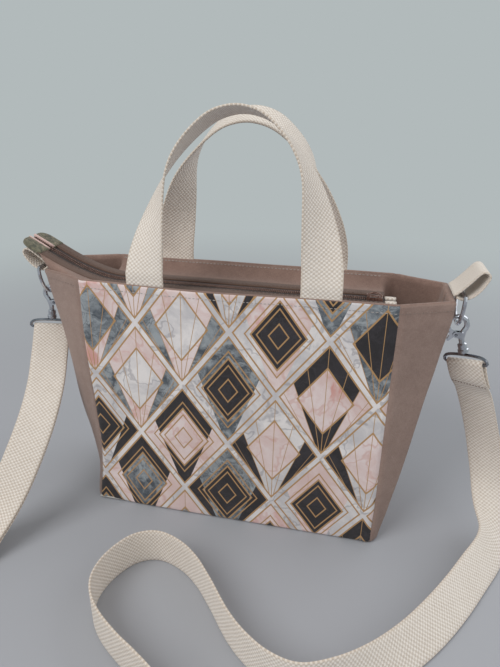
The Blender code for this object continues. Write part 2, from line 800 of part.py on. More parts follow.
def build_rings_and_loops():
    """The side loops with a D-ring in each."""
    for word, sign in (("right", 1), ("left", -1)):
        loft(f"ring_loop_{word}", loop_rings(word, sign), cream_webbing())
        holder = bpy.data.objects.new(f"d_ring_{word}_pivot", None)
        PARTS.objects.link(holder)
        holder.location = (sign * RING_OUT[word], 0, RING_LEVEL[word])
        line = [Vector((0, y, z)) for y, z in ring_outline()]
        wire(f"d_ring_{word}", line, RING_WIRE, nickel(), holder, cyclic=True)


def ring_drop(across):
    """How far below its bar a D-ring's wire hangs at a distance from its middle."""
    half = (RING_INNER_WIDTH + RING_WIRE) / 2
    drop = RING_INNER_DROP + RING_WIRE
    return RING_CORNER + (drop - RING_CORNER) * math.sqrt(1 - (across / half) ** 2)


def hook_holder(word, sign):
    """An empty at a hook's collar, with local Z up along the shank and the claw over the ring."""
    holder = bpy.data.objects.new(f"hook_{word}_axis", None)
    PARTS.objects.link(holder)
    lean = math.radians(HOOK_LEAN[word])
    claw_z = RING_LEVEL[word] - ring_drop(HOOK_SIDE[word]) - CLAW_SEAT[word]
    x = RING_OUT[word] + CLAW_HEIGHT * math.sin(lean)
    z = claw_z - CLAW_HEIGHT * math.cos(lean)
    holder.location = (sign * x, -HOOK_SIDE[word], z)
    holder.rotation_euler = (0, -lean, 0 if sign > 0 else math.pi)
    return holder


def barrel_profile():
    """Outside and bore of the hook's swivel barrel, with a neck that keeps the post's head in."""
    bore = POST_RADIUS + POST_HEAD + SWIVEL_GAP
    neck = POST_RADIUS + SWIVEL_GAP
    return [(0.0, BARREL_HEIGHT + 0.0012), (BARREL_RADIUS * 0.55, BARREL_HEIGHT + 0.0010),
            (BARREL_RADIUS * 0.86, BARREL_HEIGHT), (BARREL_RADIUS * 0.82, 0.0032),
            (BARREL_RADIUS, 0.0026), (BARREL_RADIUS, 0.0004), (BARREL_RADIUS * 0.86, 0.0),
            (neck, 0.0), (neck, 0.0014), (bore, 0.0016), (bore, 0.0042), (0.0, 0.0046)]


def post_profile():
    """The post of the eye: a shaft with a head that turns inside the barrel."""
    head = POST_RADIUS + POST_HEAD
    return [(0.0, 0.0039), (head, 0.0037), (head, 0.0022), (POST_RADIUS, 0.0018),
            (POST_RADIUS, -0.0022), (0.0, -0.0022)]


def claw_line():
    """The claw's bent bar in its own XZ plane: shank, bowl and tip, with a radius for each point."""
    points = [(0.0, BARREL_HEIGHT - 0.0020), (0.0004, 0.0110), (0.0020, 0.0152)]
    radii = [1.10, 1.20, 1.25]
    bowl_steps = 14
    for i in range(bowl_steps + 1):
        along = i / bowl_steps
        angle = math.radians(-58 + (176 + 58) * along)
        points.append((CLAW_RADIUS * math.cos(angle), CLAW_HEIGHT + CLAW_RADIUS * math.sin(angle)))
        radii.append(1.15 - 0.45 * along * along)
    return [Vector((x, 0, z)) for x, z in points], radii


def gate_outline():
    """The sprung gate with its thumb lever, about its pivot at (0, 0)."""
    centre = (-GATE_PIVOT[0] - 0.0004, CLAW_HEIGHT - GATE_PIVOT[1])
    lever = [(-0.0012, -0.0014), (-0.0040, -0.0030), (-0.0062, -0.0040), (-0.0072, -0.0034),
             (-0.0068, -0.0020), (-0.0046, 0.0002), (-0.0046, 0.0024)]
    outside = arc(centre, CLAW_RADIUS + 0.0006, 210, 188, 4)
    inside = arc(centre, CLAW_RADIUS - 0.0014, 190, 232, 6)
    heel = [(0.0016, 0.0012), (0.0017, -0.0002), (0.0009, -0.0014)]
    return lever + outside + inside + heel


def round_hole(radius):
    """A round outline about (0, 0)."""
    return arc((0, 0), radius, 0, 345, 23)


def lug(name, holder, side):
    """One ear beside the gate, from the shank to the pivot pin."""
    reach = -GATE_PIVOT[0] + 0.0012
    outline = arc((0, 0), LUG_RADIUS, 60, 240, 8) + [(reach, -0.0044), (reach + 0.0016, 0.0006)]
    piece = flat_plate(name, outline, LUG_THICK, nickel(), holder,
                       holes=(round_hole(PIVOT_RADIUS + SWIVEL_GAP),))
    offset = GATE_THICK / 2 + SWIVEL_GAP + LUG_THICK / 2
    piece.location = (GATE_PIVOT[0], side * offset, GATE_PIVOT[1])
    return solid_from_curve(piece)


def build_hook(word, sign):
    """One swivel trigger hook: claw and barrel, gate on its pivot pin, and the strap eye."""
    holder = hook_holder(word, sign)
    barrel = turned(f"hook_barrel_{word}", barrel_profile(), nickel(), holder)
    line, radii = claw_line()
    claw = wire(f"hook_claw_{word}", line, CLAW_WIRE, nickel(), holder, radii=radii)
    claw = solid_from_curve(claw)
    ears = [lug(f"hook_lug_{word}_{side}", holder, side) for side in (-1, 1)]
    join_bodies(claw, [barrel] + ears)
    gate = flat_plate(f"hook_gate_{word}", gate_outline(), GATE_THICK, dark_steel(), holder,
                      holes=(round_hole(PIVOT_RADIUS + SWIVEL_GAP),))
    gate.location = (GATE_PIVOT[0], 0, GATE_PIVOT[1])
    half_pin = GATE_THICK / 2 + SWIVEL_GAP + LUG_THICK + 0.0003
    pin = turned(f"hook_gate_pin_{word}", [(0.0, half_pin), (PIVOT_RADIUS, half_pin),
                                           (PIVOT_RADIUS, -half_pin), (0.0, -half_pin)],
                 dark_steel(), holder)
    pin.location = gate.location
    pin.rotation_euler = (math.radians(90), 0, 0)
    build_eye(word, holder)
    return holder


def build_eye(word, holder):
    """The hook's eye: a D of wire on a post that turns in the barrel."""
    post = turned(f"hook_eye_{word}", post_profile(), dark_steel(), holder)
    post.rotation_euler = (0, 0, math.radians(EYE_TURN[word]))
    half = (EYE_INNER_WIDTH + EYE_WIRE) / 2
    foot = -EYE_DROP + 0.0012
    height = EYE_DROP - 0.0034
    loop = [Vector((half - 0.0012, 0, -EYE_DROP)), Vector((-half + 0.0012, 0, -EYE_DROP))]
    for i in range(17):
        angle = math.pi * i / 16
        out = -math.copysign(abs(math.cos(angle)) ** EYE_SQUARENESS, math.cos(angle))
        loop.append(Vector((half * out, 0, foot + height * abs(math.sin(angle)) ** EYE_SQUARENESS)))
    bow = wire(f"hook_bow_{word}", loop, EYE_WIRE, nickel(), post, cyclic=True)
    join_bodies(post, [solid_from_curve(bow)])


def bar_frame(holder, word):
    """The middle of an eye's bar, its direction, and the direction down the shank."""
    bpy.context.view_layer.update()
    turn = math.radians(EYE_TURN[word])
    place = holder.matrix_world @ Vector((0, 0, -EYE_DROP))
    spin = holder.matrix_world.to_3x3()
    return place, spin @ Vector((math.cos(turn), math.sin(turn), 0)), spin @ Vector((0, 0, -1))


def glide_point(along, up):
    """A place on the strap's middle line at the slider, from its bar nearest to the bag."""
    heading = Vector((*GLIDE_HEADING, 0)).normalized()
    return Vector((*GLIDE_PLACE, 0)) + heading * along + Vector((0, 0, up))


def across_glide():
    """The direction of the webbing's width at the slider, towards the bag's right."""
    heading = Vector((*GLIDE_HEADING, 0)).normalized()
    return Vector((-heading.y, heading.x, 0))


ON_FLOOR = GAP + STRAP_THICK / 2
TWO_DEEP = ON_FLOOR + STRAP_THICK + GAP
NEAR_BAR = TWO_DEEP + STRAP_THICK / 2 + GAP + GLIDE_WIRE / 2
FAR_BAR = ON_FLOOR + STRAP_THICK / 2 + GAP + GLIDE_WIRE / 2
MIDDLE_BAR = (NEAR_BAR + FAR_BAR) / 2
OVER_MIDDLE = MIDDLE_BAR + GLIDE_WIRE / 2 + GAP + STRAP_THICK / 2
UNDER_MIDDLE = MIDDLE_BAR - GLIDE_WIRE / 2 - GAP - STRAP_THICK / 2
EYE_CLEAR = EYE_WIRE / 2 + GAP + STRAP_THICK / 2
LAYER_HALF = (STRAP_THICK + GAP) / 2


def strap_run_knots(bar, width, down):
    """The strap from the right hook to the slider: (place, width direction, half split)."""
    on_edge = (0, 0, 1)
    edge_up = WEB_WIDTH / 2 + GAP
    across = across_glide()
    knots = [(bar, width, EYE_CLEAR),
             (bar + down * 0.014, width, EYE_CLEAR * 0.7),
             ((0.190, -0.001, 0.125), (-0.78, 0.58, -0.10), 0),
             ((0.201, 0.004, 0.095), (-0.80, 0.58, 0.00), 0),
             ((0.210, 0.003, 0.066), (-0.80, 0.52, 0.20), 0),
             ((0.217, -0.006, 0.040), (-0.75, 0.46, 0.40), 0),
             ((0.2195, -0.024, 0.020), (-0.66, 0.40, 0.62), 0),
             ((0.214, -0.046, 0.0122), (-0.60, 0.36, 0.71), 0),
             ((0.197, -0.075, 0.0120), (-0.58, 0.40, 0.71), 0),
             ((0.180, -0.102, 0.0120), (-0.55, 0.44, 0.71), 0),
             ((0.162, -0.127, 0.0122), (-0.50, 0.47, 0.73), 0),
             ((0.144, -0.148, 0.0130), (-0.40, 0.46, 0.79), 0),
             ((0.124, -0.1655, 0.0143), (-0.24, 0.36, 0.90), 0),
             ((0.102, -0.178, edge_up), (-0.05, 0.18, 0.98), 0)]
    floor = [(0.080, -0.1845), (0.061, -0.1820), (0.0435, -0.1725), (0.028, -0.1590),
             (0.010, -0.1375), (-0.006, -0.1205), (-0.023, -0.1092), (-0.042, -0.1047),
             (-0.0585, -0.1125), (-0.069, -0.1310), (-0.0715, -0.1500), (-0.066, -0.1650),
             (-0.054, -0.1780), (-0.036, -0.1900), (-0.020, -0.1985), (-0.004, -0.2080),
             (0.009, -0.2200), (0.012, -0.2365), (0.002, -0.2520), (-0.022, -0.2620),
             (-0.055, -0.2680), (-0.090, -0.2720), (-0.130, -0.2760), (-0.165, -0.2740),
             (-0.192, -0.2620), (-0.205, -0.2430)]
    knots += [((x, y, edge_up), on_edge, 0) for x, y in floor]
    knots += [((-0.2065, -0.2250, 0.011), (0.70, -0.1, 0.70), 0),
              (glide_point(GLIDE_LENGTH + 0.022, ON_FLOOR + 0.0008), across, 0),
              (glide_point(GLIDE_LENGTH + 0.006, ON_FLOOR), across, 0)]
    return knots


def left_run_knots(bar, width, down):
    """The doubled strap from the slider to the left hook: (place, width direction, half split)."""
    across = across_glide()
    middle = ON_FLOOR + LAYER_HALF
    forward = down.cross(width)
    return [(glide_point(-0.006, middle), across, LAYER_HALF),
            (glide_point(-0.016, middle), across, LAYER_HALF),
            ((-0.1838, -0.1385, 0.0050), (0.97, -0.20, 0.0), LAYER_HALF + 0.0004),
            ((-0.1785, -0.1230, 0.0180), (0.97, -0.05, -0.02), LAYER_HALF + 0.0007),
            ((-0.1710, -0.1065, 0.0370), (0.97, 0.15, -0.05), LAYER_HALF + 0.0008),
            ((-0.1640, -0.090, 0.0600), (0.95, 0.25, -0.10), LAYER_HALF + 0.0009),
            ((-0.1590, -0.068, 0.0880), (0.95, 0.30, -0.10), LAYER_HALF + 0.0007),
            ((-0.1610, -0.045, 0.1100), (0.93, 0.36, -0.10), LAYER_HALF + 0.0003),
            (bar + forward * 0.0205 + down * 0.0160, width, LAYER_HALF + 0.0002),
            (bar, width, EYE_CLEAR)]


def glide_weave():
    """The webbing under the slider's far bar, over its middle one and under its near one."""
    half = GLIDE_LENGTH / 2
    levels = [ON_FLOOR, OVER_MIDDLE, TWO_DEEP]
    points = []
    for bay in range(2):
        for i in range(WEAVE_STEPS + bay):
            t = i / WEAVE_STEPS
            rise = (1 - math.cos(math.pi * t)) / 2
            along = GLIDE_LENGTH - half * (bay + t)
            points.append(glide_point(along, levels[bay] + (levels[bay + 1] - levels[bay]) * rise))
    return points


def run_rows(knots):
    """Evenly spaced places along a run, with the width, outer side and half split at each."""
    flat = [(*place, *Vector(width).normalized(), split) for place, width, split in knots]
    length = sum((Vector(b[0]) - Vector(a[0])).length for a, b in zip(knots, knots[1:]))
    rows = smooth_rows(flat, round(length / STRAP_STEP) + 1)
    places = [Vector(row[:3]) for row in rows]
    result = []
    for place, along, row in zip(places, tangents(places), rows):
        width = Vector(row[3:6])
        width = (width - along * width.dot(along)).normalized()
        result.append((place, width, width.cross(along), row[6], along))
    return result


def over_bar(bar, outer, along):
    """Points of the webbing's half turn over an eye's bar, from its outer side to its inner one."""
    points = []
    for i in range(1, BAR_TURN_STEPS):
        angle = math.pi * i / BAR_TURN_STEPS
        points.append(bar + (outer * math.cos(angle) + along * math.sin(angle)) * EYE_CLEAR)
    return points


def build_strap(hooks):
    """The webbing from the right hook through the slider to the left hook, and its way back."""
    right_bar, right_width, right_down = bar_frame(hooks["right"], "right")
    left_bar, left_width, left_down = bar_frame(hooks["left"], "left")
    run = run_rows(strap_run_knots(right_bar, -right_width, right_down))
    left = run_rows(left_run_knots(left_bar, -left_width, left_down))
    first = run[0]
    last = left[-1]

    folded = run[:round(STRAP_FOLD / STRAP_STEP) + 1]
    behind = [place - outer * max(split, STRAP_THICK + GAP - split)
              for place, _, outer, split, _ in folded]
    points = list(reversed(behind))
    points += list(reversed(over_bar(right_bar, first[2], -first[4])))
    sides = [first[1]] * len(points)
    points += [place + outer * split for place, _, outer, split, _ in run]
    sides += [row[1] for row in run]
    weave = glide_weave()
    points += weave
    sides += [across_glide()] * len(weave)
    points += [place + outer * split for place, _, outer, split, _ in left]
    sides += [row[1] for row in left]
    turn = over_bar(left_bar, last[2], last[4])
    points += turn
    sides += [last[1]] * len(turn)
    loft("strap_webbing", ribbon_rings(points, sides, WEB_WIDTH, STRAP_THICK), cream_webbing())

    points = [glide_point(GLIDE_LENGTH / 2, UNDER_MIDDLE), glide_point(0.003, ON_FLOOR)]
    sides = [across_glide()] * 2
    points += [place - outer * split for place, _, outer, split, _ in left]
    sides += [row[1] for row in left]
    loft("strap_return_layer", ribbon_rings(points, sides, WEB_WIDTH, STRAP_THICK), cream_webbing())


def build_glide():
    """The slider: a frame of wire with a middle bar that the webbing is woven over."""
    half = (WEB_WIDTH + 0.0018 + GLIDE_WIRE) / 2
    across = across_glide()
    near = glide_point(0, NEAR_BAR)
    far = glide_point(GLIDE_LENGTH, FAR_BAR)
    corner = 0.003
    step = (far - near).normalized()
    line = []
    for end, inward, side in ((near, step, -1), (near, step, 1), (far, -step, 1), (far, -step, -1)):
        square = end + across * (half * side)
        bend = [square + inward * corner, square + (inward - across * side) * corner * 0.3,
                square - across * (side * corner)]
        line += bend if (end is near) == (side < 0) else list(reversed(bend))
    frame = solid_from_curve(wire("strap_glide", line, GLIDE_WIRE, nickel(), cyclic=True))
    middle = near.lerp(far, 0.5)
    ends = [middle - across * half, middle + across * half]
    bar = solid_from_curve(wire("strap_glide_bar", ends, GLIDE_WIRE, nickel()))
    join_bodies(frame, [bar])


def main():
    """Build every piece of the bag and its strap."""
    build_body()
    build_zip()
    build_slider()
    build_handle("front", -1, FRONT_LEAN, 0.0, 6.0)
    build_handle("back", 1, BACK_LEAN, BACK_DROP, -18.0)
    build_rings_and_loops()
    hooks = {"right": build_hook("right", 1), "left": build_hook("left", -1)}
    build_strap(hooks)
    build_glide()


clear_scene()
PARTS = collection("mini_tote_bag")
CUTTERS = collection("cutters")
main()
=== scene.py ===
import json
import math

import bpy
import numpy as np
from mathutils import Matrix, Vector, noise
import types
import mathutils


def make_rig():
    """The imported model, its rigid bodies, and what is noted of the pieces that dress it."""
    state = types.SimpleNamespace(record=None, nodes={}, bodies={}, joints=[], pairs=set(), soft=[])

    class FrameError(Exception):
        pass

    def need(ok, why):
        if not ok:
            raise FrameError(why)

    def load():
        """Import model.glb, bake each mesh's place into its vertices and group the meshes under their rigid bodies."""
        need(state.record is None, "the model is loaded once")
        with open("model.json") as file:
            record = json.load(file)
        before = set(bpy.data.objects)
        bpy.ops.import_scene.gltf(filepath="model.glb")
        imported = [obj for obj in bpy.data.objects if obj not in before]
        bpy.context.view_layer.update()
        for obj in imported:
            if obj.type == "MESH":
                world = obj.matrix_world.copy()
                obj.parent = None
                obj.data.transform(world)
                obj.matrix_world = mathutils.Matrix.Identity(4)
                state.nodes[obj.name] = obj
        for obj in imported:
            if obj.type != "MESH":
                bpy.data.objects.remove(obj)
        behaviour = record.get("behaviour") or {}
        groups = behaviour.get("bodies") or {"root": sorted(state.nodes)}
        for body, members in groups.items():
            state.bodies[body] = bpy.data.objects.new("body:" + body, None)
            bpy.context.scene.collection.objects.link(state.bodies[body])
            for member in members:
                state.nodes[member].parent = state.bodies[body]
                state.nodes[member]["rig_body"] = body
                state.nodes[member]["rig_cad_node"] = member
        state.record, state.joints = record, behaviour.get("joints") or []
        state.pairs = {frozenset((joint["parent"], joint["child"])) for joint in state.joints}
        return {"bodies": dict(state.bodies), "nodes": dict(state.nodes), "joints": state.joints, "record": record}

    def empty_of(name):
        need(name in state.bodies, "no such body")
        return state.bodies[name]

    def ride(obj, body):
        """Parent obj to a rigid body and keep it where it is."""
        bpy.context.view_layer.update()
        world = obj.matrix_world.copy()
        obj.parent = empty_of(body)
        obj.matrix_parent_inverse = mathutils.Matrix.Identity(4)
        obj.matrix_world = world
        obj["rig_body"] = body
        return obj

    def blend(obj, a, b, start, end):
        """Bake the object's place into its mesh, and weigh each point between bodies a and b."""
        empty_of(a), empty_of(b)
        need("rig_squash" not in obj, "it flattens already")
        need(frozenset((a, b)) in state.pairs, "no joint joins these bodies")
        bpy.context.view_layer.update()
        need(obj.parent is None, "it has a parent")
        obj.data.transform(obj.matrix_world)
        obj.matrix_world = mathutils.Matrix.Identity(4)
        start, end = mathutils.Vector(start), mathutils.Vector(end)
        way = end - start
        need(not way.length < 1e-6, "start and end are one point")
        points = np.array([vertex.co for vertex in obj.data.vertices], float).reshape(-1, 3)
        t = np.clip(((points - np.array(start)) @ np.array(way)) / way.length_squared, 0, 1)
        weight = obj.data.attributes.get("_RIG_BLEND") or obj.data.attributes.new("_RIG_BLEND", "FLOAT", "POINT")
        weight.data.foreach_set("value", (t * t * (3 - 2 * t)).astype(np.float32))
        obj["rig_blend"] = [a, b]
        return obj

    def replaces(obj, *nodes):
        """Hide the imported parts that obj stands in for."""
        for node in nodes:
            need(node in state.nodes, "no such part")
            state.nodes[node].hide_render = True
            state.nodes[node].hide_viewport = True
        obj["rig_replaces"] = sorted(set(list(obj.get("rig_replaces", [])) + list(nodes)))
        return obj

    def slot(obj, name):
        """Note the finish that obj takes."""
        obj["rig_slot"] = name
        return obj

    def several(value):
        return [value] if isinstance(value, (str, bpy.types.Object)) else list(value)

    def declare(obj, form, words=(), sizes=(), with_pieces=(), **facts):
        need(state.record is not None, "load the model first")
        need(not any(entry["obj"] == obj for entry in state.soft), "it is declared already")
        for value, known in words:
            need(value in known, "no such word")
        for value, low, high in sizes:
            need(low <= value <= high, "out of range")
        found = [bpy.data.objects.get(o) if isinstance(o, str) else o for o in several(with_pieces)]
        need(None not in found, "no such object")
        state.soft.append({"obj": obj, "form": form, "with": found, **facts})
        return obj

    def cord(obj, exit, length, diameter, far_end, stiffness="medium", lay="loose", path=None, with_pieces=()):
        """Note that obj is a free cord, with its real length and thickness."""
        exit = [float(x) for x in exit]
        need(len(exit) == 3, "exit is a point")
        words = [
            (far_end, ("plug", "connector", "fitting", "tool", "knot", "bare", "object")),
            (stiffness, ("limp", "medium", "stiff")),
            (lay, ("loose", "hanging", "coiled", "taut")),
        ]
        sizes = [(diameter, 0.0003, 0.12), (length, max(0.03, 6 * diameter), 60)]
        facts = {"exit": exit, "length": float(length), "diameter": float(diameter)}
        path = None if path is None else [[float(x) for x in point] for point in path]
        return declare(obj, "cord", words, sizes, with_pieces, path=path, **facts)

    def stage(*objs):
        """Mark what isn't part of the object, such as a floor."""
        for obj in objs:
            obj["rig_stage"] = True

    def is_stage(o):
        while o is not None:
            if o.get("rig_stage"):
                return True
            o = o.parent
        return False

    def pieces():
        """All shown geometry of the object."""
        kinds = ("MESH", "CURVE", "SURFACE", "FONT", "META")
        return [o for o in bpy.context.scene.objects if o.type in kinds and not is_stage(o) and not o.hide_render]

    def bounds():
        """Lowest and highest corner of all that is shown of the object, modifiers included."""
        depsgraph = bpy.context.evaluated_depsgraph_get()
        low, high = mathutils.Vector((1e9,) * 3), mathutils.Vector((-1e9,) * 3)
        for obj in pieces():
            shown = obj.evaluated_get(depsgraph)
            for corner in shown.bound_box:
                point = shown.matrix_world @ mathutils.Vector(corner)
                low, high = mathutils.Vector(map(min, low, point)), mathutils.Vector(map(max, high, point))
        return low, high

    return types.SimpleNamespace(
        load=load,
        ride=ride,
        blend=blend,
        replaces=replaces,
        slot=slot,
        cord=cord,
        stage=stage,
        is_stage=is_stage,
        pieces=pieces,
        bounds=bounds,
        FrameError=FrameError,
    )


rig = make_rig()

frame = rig.load()
CAD_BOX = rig.bounds()

# Sizes shared with the CAD solids, in metres and degrees
PANEL_WIDTH = 0.244
BAG_HEIGHT = 0.207
BASE_DEPTH = 0.100
TOP_DEPTH = 0.080
TOP_WIDTH = 0.322
SIDE_FLAT = 0.046
WALL_THICK = 0.0043
LINING_INSET = 0.0033
LINING_THICK = 0.0010
FLOOR_LEVEL = 0.0034
LINING_TOP = 0.15495
GAP = 0.0003

ZIP_LEVEL = 0.197
ZIP_RIGHT_END = 0.113
ZIP_RISE_START = -0.102
ZIP_TAIL_END = -0.183
ZIP_TAIL_RISE = 0.031
ZIP_PANEL_HALF = 0.018
ZIP_STRIP_THICK = 0.0014
TAPE_HALF = 0.0120
TAPE_THICK = 0.0006
TAB_LENGTH = 0.017
TAB_THICK = 0.0026

WEB_WIDTH = 0.030
HANDLE_THICK = 0.0017
STRAP_THICK = 0.0016
LOOP_THICK = 0.0015
HANDLE_SPACING = 0.134
HANDLE_RISE = 0.123
HANDLE_STUB = 0.0052
HANDLE_CLEAR = 0.0008
HANDLE_LEAN = {"front": 15.0, "back": 5.0}
HANDLE_DROP = {"front": 0.0025, "back": 0.0095}
HANDLE_ROLL = {"front": -4.0, "back": -18.0}
HANDLE_INSET = 0.00225

RING_WIRE = 0.0030
RING_INNER_WIDTH = WEB_WIDTH + 0.0024
RING_INNER_DROP = 0.0225
RING_CORNER = 0.0022
RING_OUT = {"right": 0.1677, "left": 0.1695}
RING_LEVEL = {"right": 0.2085, "left": 0.2060}
HOOK_SIDE = {"right": 0.007, "left": 0.004}
HOOK_LEAN = {"right": 19.0, "left": 8.0}
EYE_TURN = {"right": -40.0, "left": 25.0}
CLAW_SEAT = {"right": 0.0008, "left": 0.0022}
CLAW_HEIGHT = 0.0232
EYE_WIRE = 0.0025
EYE_DROP = 0.0092
GLIDE_WIRE = 0.0024
GLIDE_LENGTH = 0.0240
GLIDE_PLACE = (-0.190, -0.163)
GLIDE_HEADING = (-0.25, -0.97)

# The photograph's camera, fitted to the bag's corners
FRAME_WIDTH = 500
FOCAL_PIXELS = 523.75
SENSOR = 36.0
CAMERA_PLACE = (0.0903, -0.3938, 0.3311)
CAMERA_YAW = 0.2069
CAMERA_PITCH = 0.408
CAMERA_ROLL = 0.0144


def add_object(name, data):
    """A new object in the scene."""
    thing = bpy.data.objects.new(name, data)
    bpy.context.scene.collection.objects.link(thing)
    return thing


def build_camera():
    """The camera of the photograph."""
    level = math.cos(CAMERA_PITCH)
    ahead = Vector((-math.sin(CAMERA_YAW) * level, math.cos(CAMERA_YAW) * level,
                    -math.sin(CAMERA_PITCH)))
    right = ahead.cross(Vector((0, 0, 1))).normalized()
    up = right.cross(ahead)
    tilted = right * math.cos(CAMERA_ROLL) + up * math.sin(CAMERA_ROLL)
    upward = up * math.cos(CAMERA_ROLL) - right * math.sin(CAMERA_ROLL)
    data = bpy.data.cameras.new("photo_camera")
    data.sensor_fit = "HORIZONTAL"
    data.sensor_width = SENSOR
    data.lens = FOCAL_PIXELS * SENSOR / FRAME_WIDTH
    data.clip_start = 0.01
    camera = add_object("photo_camera", data)
    turn = Matrix((tilted, upward, -ahead)).transposed().to_4x4()
    camera.matrix_world = Matrix.Translation(CAMERA_PLACE) @ turn
    bpy.context.scene.camera = camera


# Shader building blocks


class Shader:
    """A node tree with short ways to add nodes, values and links."""

    def __init__(self, tree):
        self.tree = tree

    def put(self, socket, value):
        """A link into a socket, or a plain number or colour on it."""
        if isinstance(value, bpy.types.NodeSocket):
            self.tree.links.new(value, socket)
        else:
            socket.default_value = value

    def add(self, kind, *values, **settings):
        """A node with some of its own properties and its first inputs set."""
        new = self.tree.nodes.new(kind)
        for key, value in settings.items():
            setattr(new, key, value)
        for socket, value in zip(new.inputs, values):
            self.put(socket, value)
        return new

    def fill(self, node, **values):
        """A node's outputs, after its inputs are set by name."""
        for key, value in values.items():
            self.put(node.inputs[key], value)
        return node.outputs

    def math(self, operation, *values):
        """A Math node's result."""
        return self.add("ShaderNodeMath", *values, operation=operation).outputs[0]

    def times(self, first, second):
        """Two numbers multiplied."""
        return self.math("MULTIPLY", first, second)

    def ramp(self, value, low, high, out_low=0.0, out_high=1.0):
        """A value taken from one range to another with soft ends."""
        return self.add("ShaderNodeMapRange", value, low, high, out_low, out_high,
                        interpolation_type="SMOOTHSTEP").outputs[0]

    def line(self, value, middle, low, high):
        """1 where a value is near a number, and 0 away from it, with a soft edge."""
        away = self.math("ABSOLUTE", self.math("SUBTRACT", value, middle))
        return self.ramp(away, low, high, 1.0, 0.0)

    def mix(self, factor, first, second):
        """Two colours mixed. Three plain numbers are a colour as on a screen, from 0 to 255."""
        new = self.add("ShaderNodeMix", factor, data_type="RGBA")
        for socket, colour in zip(new.inputs[6:8], (first, second)):
            on_screen = isinstance(colour, tuple) and len(colour) == 3
            self.put(socket, linear(*colour) if on_screen else colour)
        return new.outputs[2]

    def blend(self, factor, first, second):
        """Two shaders mixed."""
        return self.add("ShaderNodeMixShader", factor, first, second).outputs[0]

    def scaled(self, vector, factors):
        """A vector with each part multiplied by its own number."""
        return self.add("ShaderNodeVectorMath", vector, factors, operation="MULTIPLY").outputs[0]

    def noise(self, vector, scale, detail=3.0, roughness=0.55, distortion=0.0):
        """A Noise texture's value."""
        return self.fill(self.add("ShaderNodeTexNoise"), Vector=vector, Scale=scale, Detail=detail,
                         Roughness=roughness, Distortion=distortion)[0]

    def parts(self, vector):
        """The three numbers of a vector."""
        return self.add("ShaderNodeSeparateXYZ", vector).outputs

    def use(self, group, **values):
        """A group node's outputs, after its inputs are set by name."""
        return self.fill(self.add("ShaderNodeGroup", node_tree=group), **values)


def linear(red, green, blue):
    """A colour given as on a screen, from 0 to 255, as Blender's linear one."""
    parts = []
    for value in (red, green, blue):
        value = value / 255
        parts.append(value / 12.92 if value <= 0.04045 else ((value + 0.055) / 1.055) ** 2.4)
    return (*parts, 1.0)


# Shared effects as node groups


FLOAT = "NodeSocketFloat"
VECTOR = "NodeSocketVector"


def new_group(name, inputs, outputs):
    """An empty shader node group, its builder, the values given to it and its results."""
    tree = bpy.data.node_groups.new(name, "ShaderNodeTree")
    for word, kind in inputs.items():
        tree.interface.new_socket(word, in_out="INPUT", socket_type=kind)
    for word in outputs:
        tree.interface.new_socket(word, in_out="OUTPUT", socket_type=FLOAT)
    build = Shader(tree)
    return tree, build, build.add("NodeGroupInput").outputs, build.add("NodeGroupOutput").inputs


def canvas_weave():
    """Crossed threads: height and a thread by thread lightness, from cloth metres."""
    tree, build, given, result = new_group("Canvas weave", {"Cloth": VECTOR, "Threads": FLOAT},
                                           ("Height", "Thread"))
    cloth = given["Cloth"]
    wobble = build.noise(cloth, 90.0, 2.0)
    u, v, _ = build.parts(cloth)
    across = build.math("MULTIPLY_ADD", wobble, 0.0009, u)
    along = build.math("MULTIPLY_ADD", wobble, 0.0007, v)
    warp = build.math("SINE", build.times(across, given["Threads"]))
    weft = build.math("SINE", build.times(along, given["Threads"]))
    build.put(result["Height"], build.math("MULTIPLY_ADD", build.times(warp, weft), 0.5, 0.5))
    slub = build.noise(build.scaled(cloth, (1900.0, 320.0, 60.0)), 1.0, 2.0)
    slab = build.noise(build.scaled(cloth, (320.0, 1900.0, 60.0)), 1.0, 2.0)
    build.put(result["Thread"], build.times(build.math("ADD", slub, slab), 0.5))
    return tree


WEAVE_COLUMN = 0.0018
WEAVE_RIB = 0.0015


def webbing_weave():
    """Oval floats in staggered columns: height, lightness and border, from cloth metres."""
    tree, build, given, result = new_group("Webbing weave", {"Cloth": VECTOR},
                                           ("Height", "Thread", "Edge"))
    cloth = given["Cloth"]
    u, v, _ = build.parts(cloth)
    wobble = build.noise(cloth, 150.0, 2.0)
    across = build.math("MULTIPLY_ADD", wobble, 0.0005, u)
    along = build.math("MULTIPLY_ADD", wobble, 0.0009, v)
    column = build.math("SINE", build.times(across, math.pi / WEAVE_COLUMN))
    rib = build.math("SINE", build.times(along, math.pi / WEAVE_RIB))
    build.put(result["Height"], build.ramp(build.times(column, rib), -0.55, 0.70))
    build.put(result["Thread"], build.noise(build.scaled(cloth, (900.0, 350.0, 60.0)), 1.0, 3.0))
    build.put(result["Edge"], build.ramp(build.math("ABSOLUTE", u), 0.0128, 0.0146))
    return tree


def cloth_wear():
    """Slow uneven tone and small lint, from the object's own metres."""
    tree, build, given, result = new_group("Cloth wear", {"Place": VECTOR}, ("Tone", "Lint"))
    slow = build.noise(given["Place"], 14.0, 4.0, 0.6)
    fine = build.noise(given["Place"], 160.0, 3.0, 0.6)
    build.put(result["Tone"], build.math("MULTIPLY_ADD", fine, 0.35, build.times(slow, 0.65)))
    build.put(result["Lint"], build.ramp(build.noise(given["Place"], 900.0, 1.0), 0.70, 0.80))
    return tree


MARBLE_WARP = 0.050


